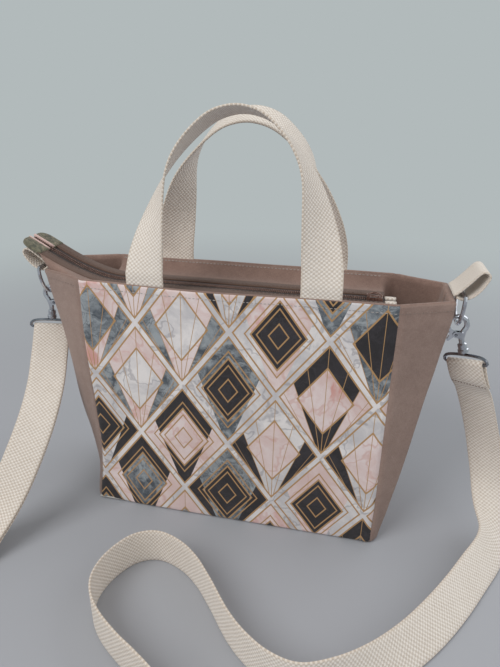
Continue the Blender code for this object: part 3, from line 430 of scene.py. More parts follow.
def marble():
    """Clouded stone with thin veins: cloud, vein and stain masks, from metres."""
    tree, build, given, result = new_group("Marble", {"Place": VECTOR, "Scale": FLOAT},
                                           ("Cloud", "Vein", "Stain"))
    place = given["Place"]
    scale = given["Scale"]
    warp = build.fill(build.add("ShaderNodeTexNoise"), Vector=place, Scale=scale, Detail=4.0)
    bent = build.add("ShaderNodeVectorMath", warp[1], (MARBLE_WARP, MARBLE_WARP, MARBLE_WARP), place,
                     operation="MULTIPLY_ADD").outputs[0]
    cloud = build.noise(bent, build.times(scale, 1.3), 7.0, 0.62, 0.6)
    build.put(result["Cloud"], build.ramp(cloud, 0.34, 0.66))
    ridge = build.noise(bent, build.times(scale, 1.1), 3.0, 0.5)
    build.put(result["Vein"], build.line(ridge, 0.5, 0.0, 0.022))
    stain = build.noise(bent, build.times(scale, 0.8), 5.0, 0.6, 1.0)
    build.put(result["Stain"], build.ramp(stain, 0.56, 0.68))
    return tree


LOZENGE_WIDTH = 0.076
LOZENGE_HEIGHT = 0.098
LOZENGE_SHIFT = 0.021
LOZENGE_STEP = LOZENGE_WIDTH * LOZENGE_HEIGHT / math.hypot(LOZENGE_WIDTH, LOZENGE_HEIGHT)
BAND_HALF = 0.0024
NEST_STEP = 0.0036
HEART_EDGE = 0.0132
GOLD_SOFT = (0.00050, 0.00078)


def lozenge_lattice():
    """A traditional lattice of lozenges: its gold lines, bands, and a number for each field."""
    tree, build, given, result = new_group("Lozenge lattice", {"Place": VECTOR},
                                           ("Gold", "Band", "Field"))
    x, _, z = build.parts(given["Place"])
    right = build.math("DIVIDE", x, LOZENGE_WIDTH)
    up = build.math("DIVIDE", build.math("ADD", z, LOZENGE_SHIFT), LOZENGE_HEIGHT)
    ways = (build.math("ADD", up, right), build.math("SUBTRACT", up, right))
    part_a, part_b = [build.math("FRACT", way) for way in ways]
    edges = [build.math("PINGPONG", way, 0.5) for way in ways]
    edge = build.times(build.math("MINIMUM", *edges), LOZENGE_STEP)
    band = build.ramp(edge, BAND_HALF - 0.0003, BAND_HALF, 1.0, 0.0)
    level = build.math("ADD", part_a, part_b)
    sideways = build.math("SUBTRACT", part_a, part_b)
    sector = build.math("DIVIDE", sideways, build.math("ADD", level, 0.05))
    ray = build.math("PINGPONG", build.times(sector, 4.0), 0.5)
    ray_line = build.ramp(build.times(ray, build.times(level, 0.030)), 0.00056, 0.00094, 1.0, 0.0)
    nest = build.math("PINGPONG", build.math("SUBTRACT", edge, BAND_HALF), NEST_STEP)
    nest_line = build.ramp(nest, 0.00038, 0.00068, 1.0, 0.0)
    cell = build.add("ShaderNodeCombineXYZ", *[build.math("FLOOR", way) for way in ways]).outputs[0]
    chance = build.add("ShaderNodeTexWhiteNoise", noise_dimensions="2D")
    pick = build.fill(chance, Vector=cell)["Value"]
    rayed = build.math("GREATER_THAN", build.math("FRACT", build.times(pick, 7.0)), 0.45)
    lines = build.math("ADD", build.times(ray_line, rayed),
                       build.times(nest_line, build.math("SUBTRACT", 1.0, rayed)))
    inner_lines = build.times(lines, build.math("SUBTRACT", 1.0, band))
    outline = build.line(edge, BAND_HALF, *GOLD_SOFT)
    ring = build.line(edge, HEART_EDGE, *GOLD_SOFT)
    build.put(result["Gold"], build.math("MAXIMUM", build.math("MAXIMUM", outline, inner_lines), ring))
    build.put(result["Band"], band)
    heart = build.ramp(edge, HEART_EDGE - 0.0001, HEART_EDGE + 0.0002)
    stripe = build.math("FLOOR", build.times(build.math("ABSOLUTE", sector), 2.0))
    field = build.math("MULTIPLY_ADD", stripe, 0.31, pick)
    build.put(result["Field"], build.math("FRACT", build.math("MULTIPLY_ADD", heart, 0.43, field)))
    return tree


GROUPS = {
    "canvas": canvas_weave(),
    "webbing": webbing_weave(),
    "wear": cloth_wear(),
    "marble": marble(),
    "lattice": lozenge_lattice(),
}


# Materials


def new_material(name, roughness, metallic=0.0, sheen=0.0):
    """A material with its Principled shader, and a builder for the rest of its nodes."""
    skin = bpy.data.materials.new(name)
    skin.use_nodes = True
    build = Shader(skin.node_tree)
    shader = skin.node_tree.nodes["Principled BSDF"]
    build.fill(shader, **{"Roughness": roughness, "Metallic": metallic, "Sheen Weight": sheen,
                          "Sheen Roughness": 0.6})
    return skin, build, shader


def paint(build, shader, colour):
    """A colour on the shader."""
    build.put(shader.inputs["Base Color"], colour)


def add_bump(build, shader, height, distance):
    """Relief from a height value."""
    bump = build.fill(build.add("ShaderNodeBump"), Strength=1.0, Distance=distance, Height=height)
    build.put(shader.inputs["Normal"], bump[0])


def cloth_metres(build):
    """The cloth's own coordinates, in metres, from the mesh."""
    return build.add("ShaderNodeUVMap", uv_map="cloth").outputs[0]


def own_metres(build):
    """The object's own coordinates, in metres."""
    return build.add("ShaderNodeTexCoord").outputs["Object"]


def canvas_material(name, dark, light, threads=5200.0, relief=0.00016):
    """Plain woven canvas between two tones."""
    skin, build, shader = new_material(name, 0.92, sheen=0.15)
    weave = build.use(GROUPS["canvas"], Cloth=cloth_metres(build), Threads=threads)
    wear = build.use(GROUPS["wear"], Place=own_metres(build))
    tone = build.math("MULTIPLY_ADD", weave["Thread"], 0.55, build.times(wear["Tone"], 0.60))
    colour = build.mix(build.ramp(tone, 0.38, 0.78), dark, light)
    paint(build, shader, build.mix(build.times(wear["Lint"], 0.25), colour, (205, 196, 188)))
    add_bump(build, shader, weave["Height"], relief)
    return skin


def taupe_canvas():
    """The canvas of the side strips and base."""
    return canvas_material("taupe_canvas", (134, 111, 102), (162, 139, 129))


def facing_canvas():
    """The brown canvas inside and along the rim."""
    return canvas_material("facing_canvas", (126, 100, 90), (158, 131, 120))


def zip_panel_canvas():
    """The zip panel's canvas, a darker brown than the facing's: painted shade, for the same cloth lying in shadow."""
    return canvas_material("zip_panel_canvas", (86, 63, 52), (110, 85, 73))


def lining_cotton():
    """The lining's finer cloth."""
    return canvas_material("lining_cotton", (88, 70, 60), (120, 98, 86), 7200.0, 0.0001)


def tail_binding():
    """The pale pink edge along the zip's tail caps."""
    return canvas_material("tail_binding", (206, 176, 170), (232, 208, 202), 7800.0, 0.00008)


def zip_tape():
    """The zip's dark brown woven tape."""
    return canvas_material("zip_tape", (34, 20, 17), (56, 36, 31), 9000.0, 0.00008)


def cream_webbing():
    """The cotton webbing of the handles, loops and strap."""
    skin, build, shader = new_material("cream_webbing", 0.90, sheen=0.2)
    weave = build.use(GROUPS["webbing"], Cloth=cloth_metres(build))
    wear = build.use(GROUPS["wear"], Place=own_metres(build))
    # The floats' height lightens their tops and darkens the dips between them: painted shade, on top of the threads'
    # own lightness and the cloth's uneven tone.
    tone = build.math("MULTIPLY_ADD", weave["Height"], 0.45, build.times(weave["Thread"], 0.35))
    shade = build.math("MULTIPLY_ADD", wear["Tone"], 0.40, build.times(tone, 0.80))
    colour = build.mix(build.ramp(shade, 0.10, 0.76), (198, 184, 169), (246, 239, 231))
    paint(build, shader, build.mix(build.times(weave["Edge"], 0.25), colour, (188, 166, 140)))
    add_bump(build, shader, weave["Height"], 0.00024)
    return skin


def marble_tint(build, place, scale, dark, light, vein, stain=None):
    """A marbled colour between two tones, with veins and a stain."""
    stone = build.use(GROUPS["marble"], Place=place, Scale=scale)
    colour = build.mix(stone["Cloud"], dark, light)
    if stain:
        colour = build.mix(build.times(stone["Stain"], 0.62), colour, stain)
    return build.mix(build.times(stone["Vein"], 0.55), colour, vein)


def print_on_cotton(build, shader, colour, thread_share):
    """A printed colour with the fine threads of the cotton under it."""
    weave = build.use(GROUPS["canvas"], Cloth=cloth_metres(build), Threads=6800.0)
    paint(build, shader, build.mix(build.times(weave["Thread"], thread_share), colour, (120, 112, 112)))
    add_bump(build, shader, weave["Height"], 0.00008)


def print_cotton():
    """Printed cotton: a lattice of marbled lozenges with gold lines."""
    skin, build, shader = new_material("print_cotton", 0.86, sheen=0.1)
    place = own_metres(build)
    lattice = build.use(GROUPS["lattice"], Place=place)
    pink = marble_tint(build, place, 22.0, (226, 200, 196), (242, 228, 228), (216, 172, 162),
                       (212, 128, 112))
    grey = marble_tint(build, place, 46.0, (66, 76, 86), (164, 172, 178), (48, 50, 58))
    white = marble_tint(build, place, 26.0, (206, 204, 208), (244, 240, 240), (150, 148, 156))
    colour = marble_tint(build, place, 40.0, (24, 22, 27), (42, 39, 45), (54, 52, 58))
    for share, tint in ((0.35, pink), (0.61, grey), (0.87, white)):
        colour = build.mix(build.math("GREATER_THAN", lattice["Field"], share), colour, tint)
    colour = build.mix(lattice["Band"], colour, white)
    colour = build.mix(lattice["Gold"], colour, (186, 146, 98))
    print_on_cotton(build, shader, colour, 0.13)
    return skin


def tail_cotton():
    """The grey green marbled cloth of the zip's tail caps."""
    skin, build, shader = new_material("tail_cotton", 0.86, sheen=0.1)
    colour = marble_tint(build, own_metres(build), 70.0, (70, 74, 58), (130, 127, 103), (196, 166, 148))
    print_on_cotton(build, shader, colour, 0.25)
    return skin


def thread_material(name, colour):
    """Sewing thread with a twist."""
    skin, build, shader = new_material(name, 0.7, sheen=0.2)
    twist = build.noise(build.scaled(own_metres(build), (900.0, 900.0, 900.0)), 1.0, 2.0)
    dark = (*(channel * 0.62 for channel in linear(*colour)[:3]), 1.0)
    paint(build, shader, build.mix(build.ramp(twist, 0.3, 0.7), dark, colour))
    return skin


def zip_nylon():
    """The zip's brown teeth."""
    skin, build, shader = new_material("zip_nylon", 0.30)
    fine = build.noise(own_metres(build), 700.0, 2.0)
    paint(build, shader, build.mix(build.ramp(fine, 0.3, 0.7), (104, 74, 64), (166, 130, 116)))
    return skin


def metal_material(name, dark, light, roughness):
    """Plated metal, with a little uneven haze and fine handling marks."""
    skin, build, shader = new_material(name, roughness, 1.0)
    place = own_metres(build)
    haze = build.noise(place, 120.0, 3.0, 0.5)
    marks = build.ramp(build.noise(build.scaled(place, (1400.0, 260.0, 500.0)), 1.0, 2.0), 0.60, 0.75)
    colour = build.mix(build.ramp(haze, 0.3, 0.7), dark, light)
    paint(build, shader, build.mix(build.times(marks, 0.20), colour, dark))
    rough = build.math("MULTIPLY_ADD", haze, 0.10, roughness - 0.05)
    build.put(shader.inputs["Roughness"], build.math("MULTIPLY_ADD", marks, 0.08, rough))
    return skin


def nickel():
    """The plating of the rings, hooks and slider."""
    return metal_material("nickel", (176, 177, 184), (214, 215, 222), 0.16)


def dark_steel():
    """The hooks' darker swivel eyes and pins."""
    return metal_material("dark_steel", (120, 122, 130), (162, 164, 172), 0.18)


def brown_enamel():
    """The zip slider's brown enamel."""
    skin, build, shader = new_material("brown_enamel", 0.34, 0.35)
    haze = build.noise(own_metres(build), 500.0, 3.0)
    paint(build, shader, build.mix(build.ramp(haze, 0.35, 0.7), (112, 80, 70), (158, 126, 114)))
    shader.inputs["Coat Weight"].default_value = 0.4
    return skin


def board_plastic():
    """The stiff base board."""
    skin, build, shader = new_material("board_plastic", 0.5)
    grain = build.noise(own_metres(build), 300.0, 3.0)
    paint(build, shader, build.mix(grain, (196, 194, 188), (222, 220, 214)))
    return skin


SKINS = {
    "print": print_cotton(),
    "taupe": taupe_canvas(),
    "facing": facing_canvas(),
    # The panel canvas is the facing's cloth, painted darker as painted shade.
    "panel": zip_panel_canvas(),
    "lining": lining_cotton(),
    "webbing": cream_webbing(),
    "tail": tail_cotton(),
    "nylon": zip_nylon(),
    "tape": zip_tape(),
    "binding": tail_binding(),
    "nickel": nickel(),
    "dark_steel": dark_steel(),
    "enamel": brown_enamel(),
    "board": board_plastic(),
    "pale_thread": thread_material("pale_thread", (196, 190, 186)),
    "taupe_thread": thread_material("taupe_thread", (150, 130, 120)),
    "brown_thread": thread_material("brown_thread", (112, 84, 70)),
}


# Mesh building blocks


def link_mesh(name, verts, faces, uvs, skins, face_skins=None):
    """A smooth mesh object in the scene, with cloth coordinates for each face corner."""
    mesh = bpy.data.meshes.new(name)
    mesh.from_pydata([tuple(point) for point in verts], [], faces)
    layer = mesh.uv_layers.new(name="cloth")
    layer.data.foreach_set("uv", np.array(uvs, dtype=np.float32).ravel())
    for skin in skins:
        mesh.materials.append(skin)
    if face_skins is not None:
        mesh.polygons.foreach_set("material_index", np.array(face_skins, dtype=np.int32))
    mesh.shade_smooth()
    return add_object(name, mesh)


def surface(name, rows, cloth, skins, closed=False, caps=False, skin_of=None, flip=False):
    """A sheet through rows of points.

    cloth has the cloth coordinates of each point, with one more column where the rows close."""
    height = len(rows)
    width = len(rows[0])
    verts = [point for row in rows for point in row]
    faces = []
    uvs = []
    face_skins = []
    for r in range(height - 1):
        for c in range(width if closed else width - 1):
            d = (c + 1) % width
            corners = [(r, c, c), (r, d, c + 1), (r + 1, d, c + 1), (r + 1, c, c)]
            if flip:
                corners.reverse()
            faces.append([a * width + b for a, b, _ in corners])
            uvs += [cloth[a][k] for a, _, k in corners]
            face_skins.append(skin_of(r, c) if skin_of else 0)
    if caps:
        for r, turn in ((0, not flip), (height - 1, flip)):
            loop = list(range(width))
            if turn:
                loop.reverse()
            faces.append([r * width + c for c in loop])
            uvs += [cloth[r][c] for c in loop]
            face_skins.append(0)
    return link_mesh(name, verts, faces, uvs, skins, face_skins)


def smooth_rows(knots, step):
    """Rows along a smooth curve through the knots, whose first three numbers are evenly spaced.

    A knot is a place, and may carry more numbers, which vary smoothly with it."""
    knots = np.array([[float(value) for value in knot] for knot in knots])
    padded = np.vstack([2 * knots[0] - knots[1], knots, 2 * knots[-1] - knots[-2]])
    fine = []
    for i in range(1, len(padded) - 2):
        a, b, c, d = padded[i - 1:i + 3]
        for t in np.linspace(0.0, 1.0, 16, endpoint=False):
            fine.append(0.5 * (2 * b + (c - a) * t + (2 * a - 5 * b + 4 * c - d) * t * t
                               + (3 * b - a - 3 * c + d) * t ** 3))
    fine.append(knots[-1])
    fine = np.array(fine)
    steps = np.linalg.norm(np.diff(fine[:, :3], axis=0), axis=1)
    marks = np.concatenate([[0.0], np.cumsum(steps)])
    goals = np.linspace(0.0, marks[-1], max(2, round(marks[-1] / step) + 1))
    return np.array([np.interp(goals, marks, column) for column in fine.T]).T


def tangents(points):
    """The direction of a line of points at each of them."""
    result = []
    for i in range(len(points)):
        before = points[max(i - 1, 0)]
        after = points[min(i + 1, len(points) - 1)]
        result.append((after - before).normalized())
    return result


def line_length(points):
    """The length of a line of points."""
    return sum((b - a).length for a, b in zip(points, points[1:]))


# The webbing's section, as shares of half its width and half its thickness
WEB_EDGE = [(0.985, 0.72), (0.955, 1.0), (0.72, 0.97), (0.36, 1.0)]
WEB_TOP = [(-1.0, 0.0), *((-a, b) for a, b in WEB_EDGE), (0.0, 0.98), *reversed(WEB_EDGE), (1.0, 0.0)]
WEB_SECTION = WEB_TOP + [(a, -b) for a, b in reversed(WEB_TOP[1:-1])]


def ribbon(name, points, sides, thick):
    """Webbing along a line, with soft edges and cloth coordinates across and along it."""
    rows = []
    cloth = []
    gone = 0.0
    half = WEB_WIDTH / 2
    for i, (point, along, side) in enumerate(zip(points, tangents(points), sides)):
        across = (side - along * side.dot(along)).normalized()
        through = along.cross(across)
        rows.append([point + across * (a * half) + through * (b * thick / 2) for a, b in WEB_SECTION])
        if i:
            gone += (point - points[i - 1]).length
        cloth.append([(a * half, gone) for a, _ in WEB_SECTION] + [(-half, gone)])
    return surface(name, rows, cloth, [SKINS["webbing"]], closed=True, caps=True)


def sewn(piece, slot, *nodes):
    """A cloth piece of the bag, in place of some CAD nodes."""
    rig.ride(piece, "bag")
    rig.replaces(piece, *nodes)
    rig.slot(piece, slot)


def thicken(piece, thick):
    """Cloth thickness, half of it to each side of a sheet."""
    body = piece.modifiers.new("cloth", "SOLIDIFY")
    body.thickness = thick
    body.offset = 0.0


STITCH_PITCH = 0.0032
STITCH_SHARE = 0.72
STITCH_RADIUS = 0.00022
STITCH_LIFT = 0.00012
TOPSTITCH_RADIUS = 0.00030


def stitch_line(name, points, normals, skin, body="bag", pitch=STITCH_PITCH, radius=STITCH_RADIUS):
    """A row of thread stitches that lie on a surface, as one mesh on a body."""
    marks = [0.0]
    for a, b in zip(points, points[1:]):
        marks.append(marks[-1] + (b - a).length)
    count = max(1, int(marks[-1] / pitch))
    xyz = np.array([tuple(point) for point in points])
    out = np.array([tuple(normal) for normal in normals])
    verts = []
    faces = []
    uvs = []
    for k in range(count):
        near = k * pitch + pitch * (1 - STITCH_SHARE) / 2
        far = near + pitch * STITCH_SHARE
        ends = [Vector([np.interp(mark, marks, xyz[:, i]) for i in range(3)]) for mark in (near, far)]
        up = Vector([np.interp((near + far) / 2, marks, out[:, i]) for i in range(3)]).normalized()
        lift = up * STITCH_LIFT
        add_stitch(verts, faces, uvs, ends[0] + lift, ends[1] + lift, up, radius)
    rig.ride(link_mesh(name, verts, faces, uvs, [SKINS[skin]]), body)


# Rings of one stitch: share of its length, then width and lift as shares of its radius
STITCH_RINGS = [(0.0, 0.05, -1.2), (0.12, 0.8, -0.35), (0.5, 1.0, 0.25), (0.88, 0.8, -0.35),
                (1.0, 0.05, -1.2)]
STITCH_SIDES = 6


def add_stitch(verts, faces, uvs, near, far, up, radius):
    """One stitch: a small bowed spindle from one needle hole to the next."""
    along = (far - near).normalized()
    across = along.cross(up).normalized()
    first = len(verts)
    for part, swell, rise in STITCH_RINGS:
        centre = near.lerp(far, part) + up * (rise * radius)
        for s in range(STITCH_SIDES):
            angle = math.tau * s / STITCH_SIDES
            verts.append(centre + (across * math.cos(angle) + up * math.sin(angle)) * radius * swell)
    for ring in range(len(STITCH_RINGS) - 1):
        for s in range(STITCH_SIDES):
            t = (s + 1) % STITCH_SIDES
            low = first + ring * STITCH_SIDES
            high = low + STITCH_SIDES
            faces.append([low + s, low + t, high + t, high + s])
            uvs += [(0.0, 0.0), (0.001, 0.0), (0.001, 0.001), (0.0, 0.001)]


def waves(point, size, seed):
    """Smooth noise from -1 to 1 with a feature size in metres."""
    return noise.noise(Vector((point[0] / size + seed * 7.31, point[1] / size - seed * 3.17,
                               point[2] / size + seed * 1.73)))


def hump(distance, width):
    """A soft bump: 1 at no distance, near 0 past the width."""
    return math.exp(-(distance / width) ** 2)


# The bag's body


RIGHT_SWELL = 0.0050
LEFT_SWELL = 0.0040
LEFT_SWELL_LEVEL = 0.070
LEFT_SWELL_SPREAD = 0.05
LEFT_FOOT_SHARE = 0.7
LEFT_FOOT_SPREAD = 0.020
FOLD_FORWARD = 0.021
LEFT_FOLD_SPAN = 0.030
PINCH = 0.0045
PINCH_LEVEL = 0.050
PINCH_BELOW = 0.050
PINCH_ABOVE = 0.080
PINCH_ALONG_FRONT = 0.035
PINCH_ALONG_SIDE = 0.012


def body_corners(z):
    """The outer corners of the bag at one height, anticlockwise from the front left panel edge.

    The soft ends swell out of the flat pattern, and their folds come forward near the base."""
    up = z / BAG_HEIGHT
    panel = PANEL_WIDTH / 2
    half_depth = (BASE_DEPTH + (TOP_DEPTH - BASE_DEPTH) * up) / 2
    side = panel + (TOP_WIDTH / 2 - panel) * up
    right = side + RIGHT_SWELL * (1 - up * up)
    right_fold = SIDE_FLAT / 2 + FOLD_FORWARD * (1 - up)
    swell = hump(z - LEFT_SWELL_LEVEL, LEFT_SWELL_SPREAD) + LEFT_FOOT_SHARE * hump(z, LEFT_FOOT_SPREAD)
    left = side + LEFT_SWELL * swell
    left_fold = SIDE_FLAT / 2 + FOLD_FORWARD * max(0.0, 1 - z / LEFT_FOLD_SPAN)
    return [Vector((-panel, -half_depth)), Vector((panel, -half_depth)), Vector((right, -right_fold)),
            Vector((right, 0.0)), Vector((right, right_fold)), Vector((panel, half_depth)),
            Vector((-panel, half_depth)), Vector((-left, left_fold)), Vector((-left, 0.0)),
            Vector((-left, -left_fold))]


def pinch_at(z):
    """How far the front left seam is drawn in and back at one height."""
    return PINCH * hump(z - PINCH_LEVEL, PINCH_BELOW if z < PINCH_LEVEL else PINCH_ABOVE)


FRONT_LEFT, FRONT_RIGHT, RIGHT_FRONT_FOLD, RIGHT_SEAM, RIGHT_BACK_FOLD = range(5)
BACK_RIGHT, BACK_LEFT, LEFT_BACK_FOLD, LEFT_SEAM, LEFT_FRONT_FOLD = range(5, 10)
SEAMS = (FRONT_LEFT, FRONT_RIGHT, RIGHT_SEAM, BACK_RIGHT, BACK_LEFT, LEFT_SEAM)
# Columns along each edge of the bag's outline
EDGE_STEPS = (52, 16, 8, 8, 16, 52, 16, 8, 8, 16)
EDGE_STARTS = [sum(EDGE_STEPS[:i]) for i in range(10)]
COLUMNS = sum(EDGE_STEPS)


def clustered(count):
    """Shares from 0 to 1 that lie closer together near both ends."""
    return [i / count - 0.13 * math.sin(math.tau * i / count) for i in range(count)]


def wall_line(z, inset):
    """Points round the bag at one height, with their outward directions.

    The side folds are rounded; the seams stay sharp."""
    corners = body_corners(max(z, 0.0))
    points = []
    pinned = []
    for i, count in enumerate(EDGE_STEPS):
        for t in clustered(count):
            points.append(corners[i].lerp(corners[(i + 1) % 10], t))
            pinned.append(t == 0.0 and i in SEAMS or i in (FRONT_LEFT, BACK_RIGHT))
    for _ in range(2):
        points = [point if fixed else (points[i - 1] + point * 2 + points[(i + 1) % len(points)]) / 4
                  for i, (point, fixed) in enumerate(zip(points, pinned))]
    drawn = Vector((1.0, 1.0)) * pinch_at(z)
    for i, point in enumerate(points):
        reach = PINCH_ALONG_FRONT if i < EDGE_STEPS[0] else PINCH_ALONG_SIDE
        points[i] = point + drawn * hump((point - corners[FRONT_LEFT]).length, reach)
    result = []
    for i, point in enumerate(points):
        along = (points[(i + 1) % len(points)] - points[i - 1]).normalized()
        outward = Vector((along.y, -along.x))
        result.append((point - outward * inset, outward))
    return result


RIM_RADIUS = WALL_THICK / 2
RIM_TURN = 150.0
RIM_ROWS = 7
BASE_RADIUS = 0.0035
BASE_ROWS = 5
WALL_ROWS = 44
RIM_FOLD_ROW = BASE_ROWS + WALL_ROWS + 2


def seam_distances(points):
    """How far each point of a wall line is from the nearest seam, and from the line's start."""
    marks = [0.0]
    for a, b in zip(points, points[1:] + points[:1]):
        marks.append(marks[-1] + (b - a).length)
    total = marks[-1]
    seams = [marks[EDGE_STARTS[i]] for i in SEAMS]
    result = []
    for mark in marks[:-1]:
        result.append(min(min(abs(mark - s), total - abs(mark - s)) for s in seams))
    return result, marks


# Unevenness of the outer cloth: each wave's size, seed and height
WALL_WAVES = ((0.075, 1, 0.0013), (0.030, 2, 0.0006))
STRIP_WAVES = (0.022, 3, 0.0008)
# Relief beside the seams and below the rim: height, distance and spread
SEAM_RELIEF = ((-0.0011, 0.0, 0.0014), (0.0005, 0.0042, 0.0026))
RIM_RELIEF = ((0.0004, 0.0025, 0.0020), (-0.0003, 0.0052, 0.0012))


def cloth_push(point, seam_distance, z):
    """How far the outer cloth stands out from its flat pattern at a place on the wall."""
    calm = min(1.0, z / 0.03) * min(1.0, (BAG_HEIGHT - z) / 0.015 + 0.15)
    slow = sum(waves(point, size, seed) * height for size, seed, height in WALL_WAVES)
    if abs(point[0]) > PANEL_WIDTH / 2:
        size, seed, height = STRIP_WAVES
        slow += waves((point[0], point[1], point[2] * 0.35), size, seed) * height
    seam = sum(height * hump(seam_distance - away, spread) for height, away, spread in SEAM_RELIEF)
    rim = sum(height * hump(BAG_HEIGHT - z - away, spread) for height, away, spread in RIM_RELIEF)
    return slow * calm + seam + rim


def wall_profile():
    """Height and inset of each row of the outer cloth, from the base edge over the rim."""
    rows = []
    for i in range(BASE_ROWS):
        angle = math.radians(90 * i / BASE_ROWS)
        rows.append((BASE_RADIUS * (1 - math.cos(angle)), BASE_RADIUS * (1 - math.sin(angle))))
    top = BAG_HEIGHT - RIM_RADIUS
    for i in range(WALL_ROWS + 1):
        rows.append((BASE_RADIUS + (top - BASE_RADIUS) * (i / WALL_ROWS) ** 0.92, 0.0))
    for i in range(1, RIM_ROWS + 1):
        angle = math.radians(RIM_TURN * i / RIM_ROWS)
        rows.append((top + RIM_RADIUS * math.sin(angle), RIM_RADIUS * (1 - math.cos(angle))))
    return rows


def build_outer():
    """The outer cloth: front and back panels, side strips and base, as one sewn shell."""
    rows = []
    cloth = []
    for z, inset in wall_profile():
        line = wall_line(min(z, BAG_HEIGHT), inset)
        distances, marks = seam_distances([point for point, _ in line])
        row = []
        for (point, outward), distance in zip(line, distances):
            push = cloth_push((point.x, point.y, z), distance, z) if inset < RIM_RADIUS else 0.0
            place = point + outward * push
            level = max(z, 0.0002) + rim_wave(point) * max(0.0, z / BAG_HEIGHT - 0.9) * 10
            row.append(Vector((place.x, place.y, level)))
        rows.append(row)
        cloth.append([(mark, z + inset) for mark in marks])

    def skin_of(row, column):
        on_front = EDGE_STARTS[FRONT_LEFT] <= column < EDGE_STARTS[FRONT_RIGHT]
        on_back = EDGE_STARTS[BACK_RIGHT] <= column < EDGE_STARTS[BACK_LEFT]
        if row >= RIM_FOLD_ROW:
            return 2
        return 0 if on_front or on_back else 1

    skins = [SKINS["print"], SKINS["taupe"], SKINS["facing"]]
    outer = surface("bag_outer", rows, cloth, skins, closed=True, skin_of=skin_of)
    sewn(outer, "print_cotton", "front_panel", "back_panel", "front_strip_left", "front_strip_right",
         "back_strip_left", "back_strip_right", "foam_interlining", "rim_band")
    build_base(rows[0])
    return rows


RIM_SAG = 0.0024
RIM_SAG_MIDDLE = -0.022
RIM_SAG_SPREAD = 0.085


def rim_sag(x):
    """How far the front rim sags at one place along it."""
    return RIM_SAG * hump(x - RIM_SAG_MIDDLE, RIM_SAG_SPREAD)


def rim_wave(point):
    """A slight unevenness of the rim's height, with the sag along the front panel."""
    wave = waves((point[0], point[1], 0.0), 0.06, 5) * 0.0005
    if point[1] > -TOP_DEPTH / 2 + WALL_THICK:
        return wave
    return wave - rim_sag(point[0])


BASE_RINGS = 12
BASE_RISE = 0.0006


def build_base(edge):
    """The bottom panel, inside the lowest line of the wall."""
    rows = []
    cloth = []
    for i in range(BASE_RINGS + 1):
        share = 1 - i / BASE_RINGS
        lift = BASE_RISE * min(1.0, 4 * i / BASE_RINGS)
        row = []
        for point in edge:
            x = point.x * share
            y = point.y * share
            rise = lift * (0.5 + 0.5 * waves((x, y, 0.0), 0.05, 6))
            row.append(Vector((x, y, 0.0004 + rise)))
        rows.append(row)
        cloth.append([(point.x, point.y) for point in row + row[:1]])
    base = surface("bag_base", rows, cloth, [SKINS["taupe"]], closed=True)
    sewn(base, "taupe_canvas", "base_panel")


# Inside: facing, lining and zip panel


def inset_corners(z, inset):
    """The bag's corners moved inward by one distance, square to each side."""
    corners = body_corners(z)
    result = []
    for i, corner in enumerate(corners):
        before = (corner - corners[i - 1]).normalized()
        after = (corners[(i + 1) % 10] - corner).normalized()
        normal_before = Vector((-before.y, before.x))
        normal_after = Vector((-after.y, after.x))
        middle = (normal_before + normal_after).normalized()
        result.append(corner + middle * (inset / middle.dot(normal_after)))
    return result


FACING_ROWS = 14
FACING_TOP = BAG_HEIGHT - 0.0012
FACING_DIP = 0.0028
# Places along the zip where the facing has a line, and the columns from each line to the next
FACING_STOPS = (-0.117, -0.109, -0.060, 0.0, 0.060, 0.103, 0.112)
FACING_COUNTS = (4, 8, 4, 4, 12, 14, 14, 12, 4, 5, 8, 4)


def facing_columns(outward):
    """Top to bottom lines of half the facing, from the left seam to the right one."""
    heights = [FACING_TOP - (FACING_TOP - LINING_TOP) * i / FACING_ROWS for i in range(FACING_ROWS + 1)]
    inset = LINING_INSET + LINING_THICK * 0.6

    def wall_column(corner):
        line = []
        for z in heights:
            point = inset_corners(z, inset)[corner]
            line.append(Vector((point.x, 0.0 if corner in (LEFT_SEAM, RIGHT_SEAM) else point.y, z)))
        return line

    if outward < 0:
        corners = [LEFT_SEAM, LEFT_FRONT_FOLD, FRONT_LEFT, FRONT_RIGHT, RIGHT_FRONT_FOLD, RIGHT_SEAM]
    else:
        corners = [LEFT_SEAM, LEFT_BACK_FOLD, BACK_LEFT, BACK_RIGHT, RIGHT_BACK_FOLD, RIGHT_SEAM]
    rim_y = inset_corners(BAG_HEIGHT, inset)[corners[2]].y

    def zip_column(x):
        rim = Vector((x, rim_y, FACING_TOP - (rim_sag(x) if outward < 0 else 0.0)))
        edge = Vector((x, outward * (ZIP_PANEL_HALF + 0.0004), ZIP_LEVEL - ZIP_STRIP_THICK / 2))
        line = []
        for i in range(FACING_ROWS + 1):
            t = i / FACING_ROWS
            point = rim.lerp(edge, t)
            point.z -= FACING_DIP * math.sin(math.pi * t) * (1 + 0.4 * waves((x, 0.0, 0.0), 0.04, 8))
            line.append(point)
        return line

    left = [wall_column(corner) for corner in corners[:3]]
    right = [wall_column(corner) for corner in corners[3:]]
    middle = [zip_column(x) for x in FACING_STOPS]
    return left + middle + right


def between(columns, counts):
    """The same columns with more between them, straight from one to the next."""
    result = []
    for left, right, count in zip(columns, columns[1:], counts):
        for i in range(count):
            result.append([a.lerp(b, i / count) for a, b in zip(left, right)])
    result.append(columns[-1])
    return result


